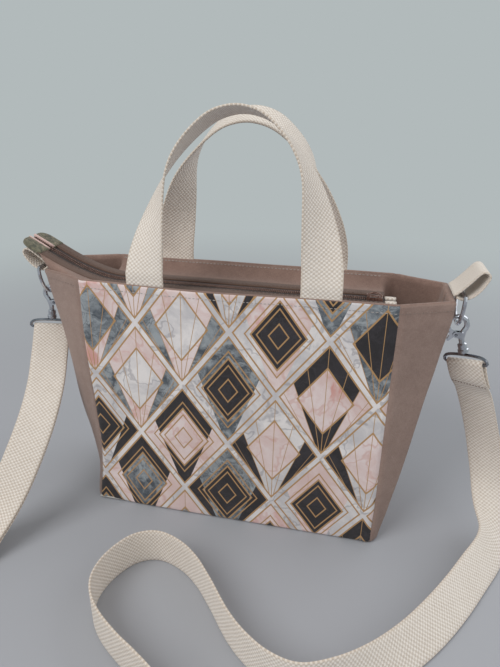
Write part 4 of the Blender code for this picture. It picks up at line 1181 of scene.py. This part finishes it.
def build_facing():
    """The brown facing: down the wall at both ends, and in to the zip panel between them."""
    for word, outward in (("front", -1), ("back", 1)):
        columns = between(facing_columns(outward), FACING_COUNTS)
        rows = []
        cloth = []
        for r in range(FACING_ROWS + 1):
            row = []
            line = []
            gone = 0.0
            for c, column in enumerate(columns):
                point = column[r].copy()
                point.y += waves(point, 0.03, 9 + outward) * 0.0005
                if c:
                    gone += (columns[c][0] - columns[c - 1][0]).length
                row.append(point)
                line.append((gone, point.z + abs(point.y)))
            rows.append(row)
            cloth.append(line)
        piece = surface(f"facing_cloth_{word}", rows, cloth, [SKINS["facing"]], flip=outward < 0)
        level = columns[sum(FACING_COUNTS[:3]):-sum(FACING_COUNTS[-3:])]
        line = [column[1].lerp(column[2], 0.2) + Vector((0, 0, 0.0006)) for column in level]
        stitch_line(f"facing_topstitch_{word}", line, [Vector((0, -outward, 0.6))] * len(line),
                    "pale_thread", radius=TOPSTITCH_RADIUS)
        thicken(piece, 0.0008)
        sewn(piece, "brown_canvas", f"facing_{word}")


LINING_ROWS = 24
LINING_CREASE = 0.0022


def build_lining():
    """The loose lining inside, which sags a little below the facing."""
    rows = []
    cloth = []
    for i in range(LINING_ROWS + 1):
        z = LINING_TOP + 0.002 - (LINING_TOP - FLOOR_LEVEL - 0.001) * i / LINING_ROWS
        line = wall_line(z, LINING_INSET + 0.0007)
        _, marks = seam_distances([point for point, _ in line])
        row = []
        for point, outward in line:
            low = min(1.0, (LINING_TOP - z) / 0.03) if z < LINING_TOP else 0.0
            crease = (0.5 + 0.5 * waves((point.x, point.y, z * 0.4), 0.016, 11)) * LINING_CREASE * low
            place = point - outward * crease
            row.append(Vector((place.x, place.y, z)))
        rows.append(row)
        cloth.append([(mark, z) for mark in marks])
    for shrink in (0.8, 0.5, 0.2, 0.0):
        rows.append([Vector((p.x * shrink, p.y * shrink, FLOOR_LEVEL + 0.0012))
                     for p in rows[LINING_ROWS]])
        cloth.append([(mark, FLOOR_LEVEL - shrink * 0.1) for mark, _ in cloth[LINING_ROWS]])
    piece = surface("lining_cloth", rows, cloth, [SKINS["lining"]], closed=True)
    sewn(piece, "lining_cotton", "lining")


def zip_height(x):
    """The top of the zip panel: level, then rising over the left rim to the tail."""
    along = (ZIP_RISE_START - x) / (ZIP_RISE_START - ZIP_TAIL_END)
    if along <= 0:
        return ZIP_LEVEL
    return ZIP_LEVEL + ZIP_TAIL_RISE * along * along * (1.55 - 0.55 * along)


def zip_frame(x):
    """A point on the zip's middle line, and the direction square to the panel there."""
    ahead = Vector((0.001, 0, zip_height(x + 0.001) - zip_height(x))).normalized()
    return Vector((x, 0, zip_height(x))), Vector((-ahead.z, 0, ahead.x))


ZIP_STEP = 0.003


def zip_strip(name, sign, start, end, near, far, drop, thick, skin, plump=0.0, soft=0.0004, nose=0.0):
    """A strip of cloth along one side of the zip, between two distances from its middle line.

    Its edges are soft. A nose rounds its outer left corner."""
    rows = []
    cloth = []
    count = max(4, round((end - start) / ZIP_STEP)) + (6 if nose else 0)
    for i in range(count + 1):
        along = (i / count) ** (1.6 if nose else 1.0)
        x = start + (end - start) * along
        point, up = zip_frame(x)
        near_end = min(x - start, end - x)
        width = far - near
        if x - start < nose:
            width -= nose - math.sqrt(max(0.0, nose ** 2 - (nose - x + start) ** 2))
        section = [(0.0, 0.5), (soft * 0.3, 0.12), (soft, 0.0)]
        section += [(soft + (width - 2 * soft) * k / 6, 0.0) for k in range(1, 6)]
        section += [(width - soft, 0.0), (width - soft * 0.3, 0.12), (width, 0.5)]
        low = [(a, 1.0 - b) for a, b in reversed(section[1:-1])]
        row = []
        line = []
        for k, (a, b) in enumerate(section + low):
            over = plump * math.sin(math.pi * min(1.0, a / width)) * min(1.0, near_end / 0.004)
            rise = -drop - b * thick + (over if k < len(section) else -over * 0.3)
            y = sign * (near + a)
            rise += waves((x, y, 0.0), 0.018, 13) * 0.00025
            row.append(point + Vector((0, y, 0)) + up * rise)
            line.append((a, x))
        rows.append(row)
        cloth.append(line + [(0.0, x)])
    return surface(name, rows, cloth, [SKINS[skin]], closed=True, caps=True, flip=sign > 0)


STRIP_EDGE = 0.0070
TOOTH_PITCH = 0.00150
TOOTH_NEAR = 0.00045
TOOTH_FAR = 0.0029
TOOTH_DROP = 0.0003
TOOTH_RADIUS = 0.00042
TAPE_DROP = 0.0010
TAIL_NOSE = 0.0075
ZIP_STITCH_IN = 0.0022


def build_teeth():
    """The zip's coils: small bars on both sides of the middle line, from the tail to the right."""
    for word, sign in (("front", -1), ("back", 1)):
        verts = []
        faces = []
        uvs = []
        x = ZIP_TAIL_END + 0.002
        while x < ZIP_RIGHT_END - 0.001:
            point, up = zip_frame(x)
            middle = point - up * TOOTH_DROP
            near = middle + Vector((0, sign * TOOTH_NEAR, 0))
            far = middle + Vector((0, sign * TOOTH_FAR, 0))
            add_stitch(verts, faces, uvs, near, far, up, TOOTH_RADIUS)
            x += TOOTH_PITCH
        piece = link_mesh(f"zip_teeth_{word}", verts, faces, uvs, [SKINS["nylon"]])
        sewn(piece, "zip_nylon", f"zip_coil_{word}")


def build_zip():
    """The zip panel's cloth strips, tapes, teeth, tail caps and tape ends."""
    tail = ZIP_TAIL_END + TAB_LENGTH
    for word, sign in (("front", -1), ("back", 1)):
        # The strips take the panel canvas, whose darker brown is painted shade.
        strip = zip_strip(f"zip_panel_{word}", sign, tail - 0.002, ZIP_RIGHT_END, STRIP_EDGE,
                          ZIP_PANEL_HALF, 0.0, ZIP_STRIP_THICK, "panel", 0.0003)
        sewn(strip, "brown_canvas", f"zip_strip_{word}")
        tape = zip_strip(f"zip_tape_cloth_{word}", sign, ZIP_TAIL_END + 0.001, ZIP_RIGHT_END,
                         0.0002, TAPE_HALF, TAPE_DROP, TAPE_THICK, "tape")
        sewn(tape, "zip_nylon", f"zip_tape_{word}")
        cap = zip_strip(f"zip_tail_cap_{word}", sign, ZIP_TAIL_END, tail, 0.0030, ZIP_PANEL_HALF,
                        -0.0006, TAB_THICK, "tail", 0.0005, 0.0009, nose=TAIL_NOSE)
        sewn(cap, "marbled_cotton", f"zip_tail_tab_{word}")
        binding = zip_strip(f"zip_tail_binding_{word}", sign, ZIP_TAIL_END - 0.0003, tail - 0.0002,
                            0.0026, 0.0046, -0.0011, 0.0022, "binding", 0.0003)
        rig.ride(binding, "bag")
        end = zip_strip(f"zip_end_{word}", sign, ZIP_RIGHT_END + GAP, ZIP_RIGHT_END + 0.0088,
                        0.0027, 0.0077, 0.0002, 0.0023, "webbing", 0.0004, 0.0008)
        sewn(end, "cream_webbing", f"zip_tape_end_{word}")
        edge = sign * (STRIP_EDGE + ZIP_STITCH_IN)
        line = []
        outs = []
        x = tail + 0.001
        while x < ZIP_RIGHT_END - 0.001:
            point, up = zip_frame(x)
            line.append(point + Vector((0, edge, 0)) + up * 0.0003)
            outs.append(up)
            x += 0.004
        stitch_line(f"zip_topstitch_{word}", line, outs, "brown_thread")
    build_teeth()
    build_zip_skirt()


SKIRT_START = -0.1165
SKIRT_LEVEL = 0.2040
SKIRT_DIP = 0.0030
SKIRT_COLUMNS = 24
SKIRT_ROWS = 8


def build_zip_skirt():
    """The cloth beside the front of the tail, which hangs from the zip to inside the rim."""
    corners = inset_corners(SKIRT_LEVEL, LINING_INSET + LINING_THICK)
    panel = corners[FRONT_LEFT]
    fold = corners[LEFT_FRONT_FOLD]
    end = ZIP_TAIL_END + TAB_LENGTH - 0.0005
    rows = []
    cloth = []
    for i in range(SKIRT_COLUMNS + 1):
        share = i / SKIRT_COLUMNS
        dip = SKIRT_DIP * max(0.0, 1 - share * 3)
        point, up = zip_frame(SKIRT_START + (end - SKIRT_START) * share)
        top = point + Vector((0, -ZIP_PANEL_HALF + 0.0004, 0)) - up * 0.0007
        x = SKIRT_START + (fold.x - SKIRT_START) * share
        y = panel.y + (fold.y - panel.y) * min(1.0, max(0.0, (panel.x - x) / (panel.x - fold.x)))
        low = Vector((x, y, SKIRT_LEVEL))
        rows.append([])
        cloth.append([])
        for k in range(SKIRT_ROWS + 1):
            place = top.lerp(low, k / SKIRT_ROWS)
            bend = math.sin(math.pi * k / SKIRT_ROWS)
            swell = bend * (0.0008 + 0.0006 * waves(place, 0.012, 17))
            rows[-1].append(place + Vector((0, -swell, swell - bend * dip)))
            cloth[-1].append((k * 0.0015, x))
    skirt = surface("zip_skirt", rows, cloth, [SKINS["facing"]])
    thicken(skirt, 0.0010)
    sewn(skirt, "brown_canvas", "zip_strip_front")


# Handles, loops and strap


HANDLE_STEP = 0.0028
LOOP_STEP = 0.0018


def handle_knots():
    """One side of the handle arch from its pivot to its top: (out, up, turn in degrees)."""
    half = HANDLE_SPACING / 2
    return [(half, 0.0, 0.0), (half - 0.001, 0.016, 12.0), (half - 0.005, 0.042, 38.0),
            (half - 0.013, 0.074, 68.0), (half - 0.025, 0.096, 82.0), (half - 0.043, 0.1145, 88.0),
            (half - 0.059, HANDLE_RISE - 0.0012, 90.0)]


def build_handles():
    """Both handles, each one webbing from rim to rim that bends where it leaves the rim."""
    for word, outward in (("front", -1), ("back", 1)):
        pivot_y = outward * (TOP_DEPTH / 2 - HANDLE_INSET)
        pivot_z = BAG_HEIGHT + HANDLE_STUB + HANDLE_CLEAR + HANDLE_THICK / 2
        # Both handles lean in over the zip, so that their tops meet.
        lean = Matrix.Rotation(math.radians(outward * HANDLE_LEAN[word]), 3, "X")
        scale = 1.0 - HANDLE_DROP[word] / HANDLE_RISE
        leg = handle_knots()
        knots = [(-out, 0.0, up, turn) for out, up, turn in leg]
        knots += [(out, 0.0, up, 180.0 - turn) for out, up, turn in reversed(leg)]
        points = []
        sides = []
        for x, y, z, turn in smooth_rows(knots, HANDLE_STEP):
            turn = math.radians(turn)
            tilt = math.radians(HANDLE_ROLL[word]) * math.sin(turn) ** 2
            side = Vector((math.cos(turn), outward * math.sin(turn),
                           -outward * math.sin(tilt) * math.sin(turn)))
            points.append(lean @ Vector((x, y, z * scale)) + Vector((0, pivot_y, pivot_z)))
            sides.append(lean @ side)
        stub = [Vector((0, pivot_y, z)) for z in (BAG_HEIGHT - 0.004, BAG_HEIGHT, BAG_HEIGHT + 0.0035)]
        half = Vector((HANDLE_SPACING / 2, 0, 0))
        points = [p - half for p in stub] + points + [p + half for p in reversed(stub)]
        sides = [Vector((1, 0, 0))] * 3 + sides + [Vector((-1, 0, 0))] * 3
        handle = ribbon(f"handle_webbing_{word}", points, sides, HANDLE_THICK)
        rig.blend(handle, "bag", f"handle_{word}", (0, 0, pivot_z - 0.004), (0, 0, pivot_z + 0.004))
        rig.replaces(handle, f"handle_{word}", f"handle_{word}_end_left", f"handle_{word}_end_right")
        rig.slot(handle, "cream_webbing")


def loop_knots(word):
    """The loop's line from the rim, under the ring's bar, round the fold and back: (out, up)."""
    side = TOP_WIDTH / 2
    level = BAG_HEIGHT + GAP
    bar_x = RING_OUT[word]
    under = RING_LEVEL[word] - RING_WIRE / 2 - GAP - LOOP_THICK / 2
    start = [(side + 0.0011, level), (bar_x - 0.0035, under + 0.0006), (bar_x, under)]
    if word == "right":
        reach = [(0.0058, 0.0030), (0.0098, 0.0075), (0.0131, 0.0135), (0.0145, 0.0180),
                 (0.0120, 0.0208), (0.0083, 0.0202), (0.0025, 0.0132), (-0.0035, 0.0062)]
    else:
        reach = [(0.0060, 0.0024), (0.0105, 0.0066), (0.0137, 0.0111), (0.0143, 0.0150),
                 (0.0115, 0.0170), (0.0075, 0.0160), (0.0005, 0.0111), (-0.0055, 0.0064)]
    bend = [(bar_x + out, under + up) for out, up in reach]
    return start + bend + [(side - 0.0012, level + 0.0011)]


def build_loops():
    """The webbing loops at the side seams."""
    for word, sign in (("right", 1), ("left", -1)):
        rows = smooth_rows([(sign * x, 0.0, z) for x, z in loop_knots(word)], LOOP_STEP)
        points = [Vector(row) for row in rows]
        loop = ribbon(f"loop_webbing_{word}", points, [Vector((0, 1, 0))] * len(points), LOOP_THICK)
        sewn(loop, "cream_webbing", f"ring_loop_{word}")


def ring_drop(across):
    """How far below its bar a D-ring's wire hangs at a distance from its middle."""
    half = (RING_INNER_WIDTH + RING_WIRE) / 2
    drop = RING_INNER_DROP + RING_WIRE
    return RING_CORNER + (drop - RING_CORNER) * math.sqrt(1 - (across / half) ** 2)


def bar_frame(word, sign):
    """The middle of a hook eye's bar, its direction, and the direction down the shank."""
    lean = math.radians(HOOK_LEAN[word])
    claw_z = RING_LEVEL[word] - ring_drop(HOOK_SIDE[word]) - CLAW_SEAT[word]
    x = RING_OUT[word] + CLAW_HEIGHT * math.sin(lean)
    z = claw_z - CLAW_HEIGHT * math.cos(lean)
    spin = Matrix.Rotation(0 if sign > 0 else math.pi, 3, "Z") @ Matrix.Rotation(-lean, 3, "Y")
    place = Vector((sign * x, -HOOK_SIDE[word], z)) + spin @ Vector((0, 0, -EYE_DROP))
    turn = math.radians(EYE_TURN[word])
    return place, spin @ Vector((math.cos(turn), math.sin(turn), 0)), spin @ Vector((0, 0, -1))


def glide_point(along, up):
    """A place on the strap's middle line at the slider, from its bar nearest to the bag."""
    heading = Vector((*GLIDE_HEADING, 0)).normalized()
    return Vector((*GLIDE_PLACE, 0)) + heading * along + Vector((0, 0, up))


def across_glide():
    """The direction of the webbing's width at the slider, towards the bag's right."""
    heading = Vector((*GLIDE_HEADING, 0)).normalized()
    return Vector((-heading.y, heading.x, 0))


ON_FLOOR = GAP + STRAP_THICK / 2
TWO_DEEP = ON_FLOOR + STRAP_THICK + GAP
NEAR_BAR = TWO_DEEP + STRAP_THICK / 2 + GAP + GLIDE_WIRE / 2
FAR_BAR = ON_FLOOR + STRAP_THICK / 2 + GAP + GLIDE_WIRE / 2
MIDDLE_BAR = (NEAR_BAR + FAR_BAR) / 2
OVER_MIDDLE = MIDDLE_BAR + GLIDE_WIRE / 2 + GAP + STRAP_THICK / 2
UNDER_MIDDLE = MIDDLE_BAR - GLIDE_WIRE / 2 - GAP - STRAP_THICK / 2
EYE_CLEAR = EYE_WIRE / 2 + GAP + STRAP_THICK / 2
LAYER_HALF = (STRAP_THICK + GAP) / 2
STRAP_FOLD = 0.022
STRAP_STEP = 0.0030
FOLD_ROWS = round(STRAP_FOLD / STRAP_STEP)
BEND_FROM = 0.020
BEND_TO = 0.110
WEAVE_STEPS = 10
BAR_TURN_STEPS = 14


def strap_run_knots(bar, width, down):
    """The strap from the right hook to the slider: (place, width direction, half split)."""
    on_edge = (0, 0, 1)
    edge_up = WEB_WIDTH / 2 + GAP
    across = across_glide()
    knots = [(bar, width, EYE_CLEAR),
             (bar + down * 0.014, width, EYE_CLEAR * 0.7),
             ((0.190, -0.001, 0.125), (-0.78, 0.58, -0.10), 0),
             ((0.201, 0.004, 0.095), (-0.80, 0.58, 0.00), 0),
             ((0.210, 0.003, 0.066), (-0.80, 0.52, 0.20), 0),
             ((0.217, -0.006, 0.040), (-0.75, 0.46, 0.40), 0),
             ((0.2195, -0.024, 0.020), (-0.66, 0.40, 0.62), 0),
             ((0.214, -0.046, 0.0122), (-0.60, 0.36, 0.71), 0),
             ((0.197, -0.075, 0.0120), (-0.58, 0.40, 0.71), 0),
             ((0.180, -0.102, 0.0120), (-0.55, 0.44, 0.71), 0),
             ((0.162, -0.127, 0.0122), (-0.50, 0.47, 0.73), 0),
             ((0.144, -0.148, 0.0130), (-0.40, 0.46, 0.79), 0),
             ((0.124, -0.1655, 0.0143), (-0.24, 0.36, 0.90), 0),
             ((0.102, -0.178, edge_up), (-0.05, 0.18, 0.98), 0)]
    floor = [(0.080, -0.1845), (0.061, -0.1820), (0.0435, -0.1725), (0.028, -0.1590),
             (0.010, -0.1375), (-0.006, -0.1205), (-0.023, -0.1092), (-0.042, -0.1047),
             (-0.0585, -0.1125), (-0.069, -0.1310), (-0.0715, -0.1500), (-0.066, -0.1650),
             (-0.054, -0.1780), (-0.036, -0.1900), (-0.020, -0.1985), (-0.004, -0.2080),
             (0.009, -0.2200), (0.012, -0.2365), (0.002, -0.2520), (-0.022, -0.2620),
             (-0.055, -0.2680), (-0.090, -0.2720), (-0.130, -0.2760), (-0.165, -0.2740),
             (-0.192, -0.2620), (-0.205, -0.2430)]
    knots += [((x, y, edge_up), on_edge, 0) for x, y in floor]
    knots += [((-0.2065, -0.2250, 0.011), (0.70, -0.1, 0.70), 0),
              (glide_point(GLIDE_LENGTH + 0.022, ON_FLOOR + 0.0008), across, 0),
              (glide_point(GLIDE_LENGTH + 0.006, ON_FLOOR), across, 0)]
    return knots


def left_run_knots(bar, width, down):
    """The doubled strap from the slider to the left hook: (place, width direction, half split)."""
    across = across_glide()
    middle = ON_FLOOR + LAYER_HALF
    forward = down.cross(width)
    return [(glide_point(-0.006, middle), across, LAYER_HALF),
            (glide_point(-0.016, middle), across, LAYER_HALF),
            ((-0.1838, -0.1385, 0.0050), (0.97, -0.20, 0.0), LAYER_HALF + 0.0004),
            ((-0.1785, -0.1230, 0.0180), (0.97, -0.05, -0.02), LAYER_HALF + 0.0007),
            ((-0.1710, -0.1065, 0.0370), (0.97, 0.15, -0.05), LAYER_HALF + 0.0008),
            ((-0.1640, -0.090, 0.0600), (0.95, 0.25, -0.10), LAYER_HALF + 0.0009),
            ((-0.1590, -0.068, 0.0880), (0.95, 0.30, -0.10), LAYER_HALF + 0.0007),
            ((-0.1610, -0.045, 0.1100), (0.93, 0.36, -0.10), LAYER_HALF + 0.0003),
            (bar + forward * 0.0205 + down * 0.0160, width, LAYER_HALF + 0.0002),
            (bar, width, EYE_CLEAR)]


def glide_weave():
    """The webbing under the slider's far bar, over its middle one and under its near one."""
    half = GLIDE_LENGTH / 2
    levels = [ON_FLOOR, OVER_MIDDLE, TWO_DEEP]
    points = []
    for bay in range(2):
        for i in range(WEAVE_STEPS + bay):
            t = i / WEAVE_STEPS
            rise = (1 - math.cos(math.pi * t)) / 2
            along = GLIDE_LENGTH - half * (bay + t)
            points.append(glide_point(along, levels[bay] + (levels[bay + 1] - levels[bay]) * rise))
    return points


def run_rows(knots):
    """Evenly spaced rows along a run: place, width direction, outer side, half split, direction."""
    flat = [(*place, *Vector(width).normalized(), split) for place, width, split in knots]
    rows = smooth_rows(flat, STRAP_STEP)
    places = [Vector(row[:3]) for row in rows]
    result = []
    for place, along, row in zip(places, tangents(places), rows):
        width = Vector(row[3:6])
        width = (width - along * width.dot(along)).normalized()
        result.append((place, width, width.cross(along), row[6], along))
    return result


def over_bar(bar, outer, along):
    """Points of the webbing's half turn over an eye's bar, from its outer side to its inner one."""
    points = []
    for i in range(1, BAR_TURN_STEPS):
        angle = math.pi * i / BAR_TURN_STEPS
        points.append(bar + (outer * math.cos(angle) + along * math.sin(angle)) * EYE_CLEAR)
    return points


def every(points, step):
    """A line's points at least a step from each other, with both ends kept."""
    kept = [points[0]]
    for point in points[1:-1]:
        if (point - kept[-1]).length >= step:
            kept.append(point)
    return kept + [points[-1]]


def hook_pieces(word):
    """The CAD pieces of one hook."""
    return [f"hook_{part}_{word}" for part in ("claw", "gate", "gate_pin", "eye")]


def strap_piece(name, points, sides, word, bar, node):
    """A stretch of strap that follows its ring near the hook, and the bag further down."""
    piece = ribbon(name, points, sides, STRAP_THICK)
    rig.blend(piece, f"ring_{word}", "bag", bar + Vector((0, 0, -BEND_FROM)), bar + Vector((0, 0, -BEND_TO)))
    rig.replaces(piece, node)
    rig.slot(piece, "cream_webbing")
    return piece


def outer_side(run):
    """The middle line of a run's outer layer."""
    return [place + outer * split for place, _, outer, split, _ in run]


def build_long_run():
    """The strap from the stitched fold at the right hook to the slider."""
    bar, width, down = bar_frame("right", 1)
    run = run_rows(strap_run_knots(bar, -width, down))
    folded = run[:FOLD_ROWS + 1]
    behind = [place - outer * max(split, STRAP_THICK + GAP - split)
              for place, _, outer, split, _ in folded]
    over = list(reversed(behind)) + list(reversed(over_bar(bar, run[0][2], -run[0][4])))
    weave = glide_weave()[:-1]
    points = over + outer_side(run) + weave
    sides = [run[0][1]] * len(over) + [row[1] for row in run] + [across_glide()] * len(weave)
    long_run = strap_piece("strap_long_run", points, sides, "right", bar, "strap_webbing")
    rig.cord(long_run, exit=bar, length=round(line_length(points), 2), diameter=WEB_WIDTH,
            far_end="fitting", stiffness="limp", lay="loose", path=every(points, 0.012),
            with_pieces=hook_pieces("right") + ["strap_glide"])
    build_fold_stitches(run)


def build_doubled_stretch():
    """The strap's two layers between the slider and the left hook."""
    bar, width, down = bar_frame("left", -1)
    left = run_rows(left_run_knots(bar, -width, down))
    widths = [row[1] for row in left]
    turn = over_bar(bar, left[-1][2], left[-1][4])
    points = glide_weave()[-1:] + outer_side(left) + turn
    sides = [across_glide()] + widths + [left[-1][1]] * len(turn)
    front = strap_piece("strap_left_front", points, sides, "left", bar, "strap_webbing")
    inner = [glide_point(GLIDE_LENGTH / 2, UNDER_MIDDLE), glide_point(0.003, ON_FLOOR)]
    inner += [place - outer * split for place, _, outer, split, _ in left]
    back = strap_piece("strap_left_back", inner, [across_glide()] * 2 + widths, "left", bar,
                       "strap_return_layer")
    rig.cord(front, exit=bar, length=round(line_length(points), 2), diameter=WEB_WIDTH,
            far_end="fitting", stiffness="limp", lay="hanging",
            path=every(list(reversed(points)), 0.010), with_pieces=hook_pieces("left") + [back])


def build_fold_stitches(run):
    """The brown row that closes the fold at the right hook."""
    place, width, outer, split, _ = run[FOLD_ROWS - 1]
    start = place + outer * (split + STRAP_THICK / 2)
    line = [start + width * (WEB_WIDTH * 0.48 * side / 4) for side in range(-4, 5)]
    stitch_line("strap_fold_stitch", line, [outer] * len(line), "brown_thread", "ring_right",
                pitch=0.0024, radius=0.00034)


# Stitching on the bag


RIM_STITCH_DOWN = 0.0044


def build_stitching(rows):
    """Topstitching below the rim."""
    profile = wall_profile()
    level = BAG_HEIGHT - RIM_STITCH_DOWN
    row = min(range(len(profile)), key=lambda r: abs(profile[r][0] - level) + profile[r][1] * 9)
    stops = [EDGE_STARTS[i] for i in (FRONT_LEFT, FRONT_RIGHT, BACK_RIGHT, BACK_LEFT)] + [COLUMNS]
    sides = (("front", "pale_thread"), ("right", "taupe_thread"), ("back", "pale_thread"),
             ("left", "taupe_thread"))
    for (word, skin), low, high in zip(sides, stops, stops[1:]):
        columns = [c % COLUMNS for c in range(low, high + 1)]
        line = [rows[row][c] for c in columns]
        outs = [outward_at(rows, row, c) for c in columns]
        stitch_line(f"rim_topstitch_{word}", line, outs, skin, radius=TOPSTITCH_RADIUS)


def outward_at(rows, r, c):
    """The outward direction of the shell at one of its points."""
    along = rows[r][(c + 1) % COLUMNS] - rows[r][c - 1]
    up = rows[min(r + 1, len(rows) - 1)][c] - rows[r - 1][c]
    return along.cross(up).normalized()


# Metal that the CAD carries


def dress_hardware():
    """Materials for the CAD pieces that are shown as they are."""
    skins = {"strap_glide": "nickel", "zip_slider": "enamel", "zip_pull": "enamel", "base_board": "board"}
    for word in ("left", "right"):
        for stem in ("d_ring", "hook_claw", "hook_gate"):
            skins[f"{stem}_{word}"] = "nickel"
        for stem in ("hook_gate_pin", "hook_eye"):
            skins[f"{stem}_{word}"] = "dark_steel"
    for name, skin in skins.items():
        piece = frame["nodes"][name]
        if not piece.material_slots:
            piece.data.materials.append(SKINS[skin])
        for place in piece.material_slots:
            place.link = "OBJECT"
            place.material = SKINS[skin]


# Floor, light and world


BACKGROUND = linear(178, 186, 187)
STAGE_HALF = 6.0
STAGE_LEVEL = -0.0001
FADE_FROM = 0.30
FADE_TO = 1.15


def seen_ray(build):
    """1 for what the camera sees, straight or in a shiny surface."""
    path = build.add("ShaderNodeLightPath").outputs
    return build.math("MAXIMUM", path["Is Camera Ray"], path["Is Glossy Ray"])


def floor_skin():
    """A plain pale surface that fades into the background with distance."""
    skin, build, shader = new_material("floor", 0.75)
    place = own_metres(build)
    paint(build, shader, build.mix(build.noise(place, 3.0, 2.0), (166, 169, 176), (176, 179, 186)))
    distance = build.add("ShaderNodeVectorMath", place, operation="LENGTH").outputs["Value"]
    far = build.ramp(distance, FADE_FROM, FADE_TO)
    glow = build.fill(build.add("ShaderNodeEmission"), Color=BACKGROUND)
    faded = build.blend(build.times(far, seen_ray(build)), shader.outputs[0], glow[0])
    build.put(skin.node_tree.nodes["Material Output"].inputs[0], faded)
    return skin


def build_stage():
    """The floor."""
    mesh = bpy.data.meshes.new("floor")
    corners = [(x * STAGE_HALF, y * STAGE_HALF, STAGE_LEVEL)
               for x, y in ((-1, -1), (1, -1), (1, 1), (-1, 1))]
    mesh.from_pydata(corners, [], [(0, 1, 2, 3)])
    mesh.materials.append(floor_skin())
    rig.stage(add_object("floor", mesh))


def area_light(name, place, target, size, power, colour):
    """A soft square light aimed at a point."""
    data = bpy.data.lights.new(name, "AREA")
    data.size = size
    data.energy = power
    data.color = colour
    light = add_object(name, data)
    light.location = place
    light.rotation_euler = (Vector(target) - Vector(place)).to_track_quat("-Z", "Y").to_euler()


def build_light():
    """Soft light from the upper left and front and from behind the right, with a pale world."""
    area_light("key", (-0.75, -0.95, 1.25), (0, 0, 0.10), 0.9, 12.0, (1.0, 0.99, 0.97))
    area_light("fill", (1.30, -0.60, 0.9), (0, 0, 0.10), 1.2, 3.0, (1.0, 1.0, 1.0))
    area_light("window", (1.15, 0.75, 1.05), (0.10, -0.05, 0.05), 1.2, 7.0, (0.96, 0.98, 1.0))
    world = bpy.data.worlds.new("pale_room")
    world.use_nodes = True
    build = Shader(world.node_tree)
    shade = build.fill(world.node_tree.nodes["Background"], Color=linear(216, 215, 212), Strength=0.66)
    back = build.fill(build.add("ShaderNodeBackground"), Color=BACKGROUND, Strength=1.0)
    both = build.blend(seen_ray(build), shade[0], back[0])
    build.put(world.node_tree.nodes["World Output"].inputs[0], both)
    bpy.context.scene.world = world
    bpy.context.scene.view_settings.view_transform = "Standard"


build_camera()
build_long_run()
build_doubled_stretch()
build_stitching(build_outer())
build_facing()
build_lining()
build_zip()
build_handles()
build_loops()
dress_hardware()
build_stage()
build_light()

with open("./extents.json", "w") as sizes:
    boxes = {"cad": CAD_BOX, "visual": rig.bounds()}
    json.dump({key: [[float(v) for v in corner] for corner in box] for key, box in boxes.items()}, sizes)
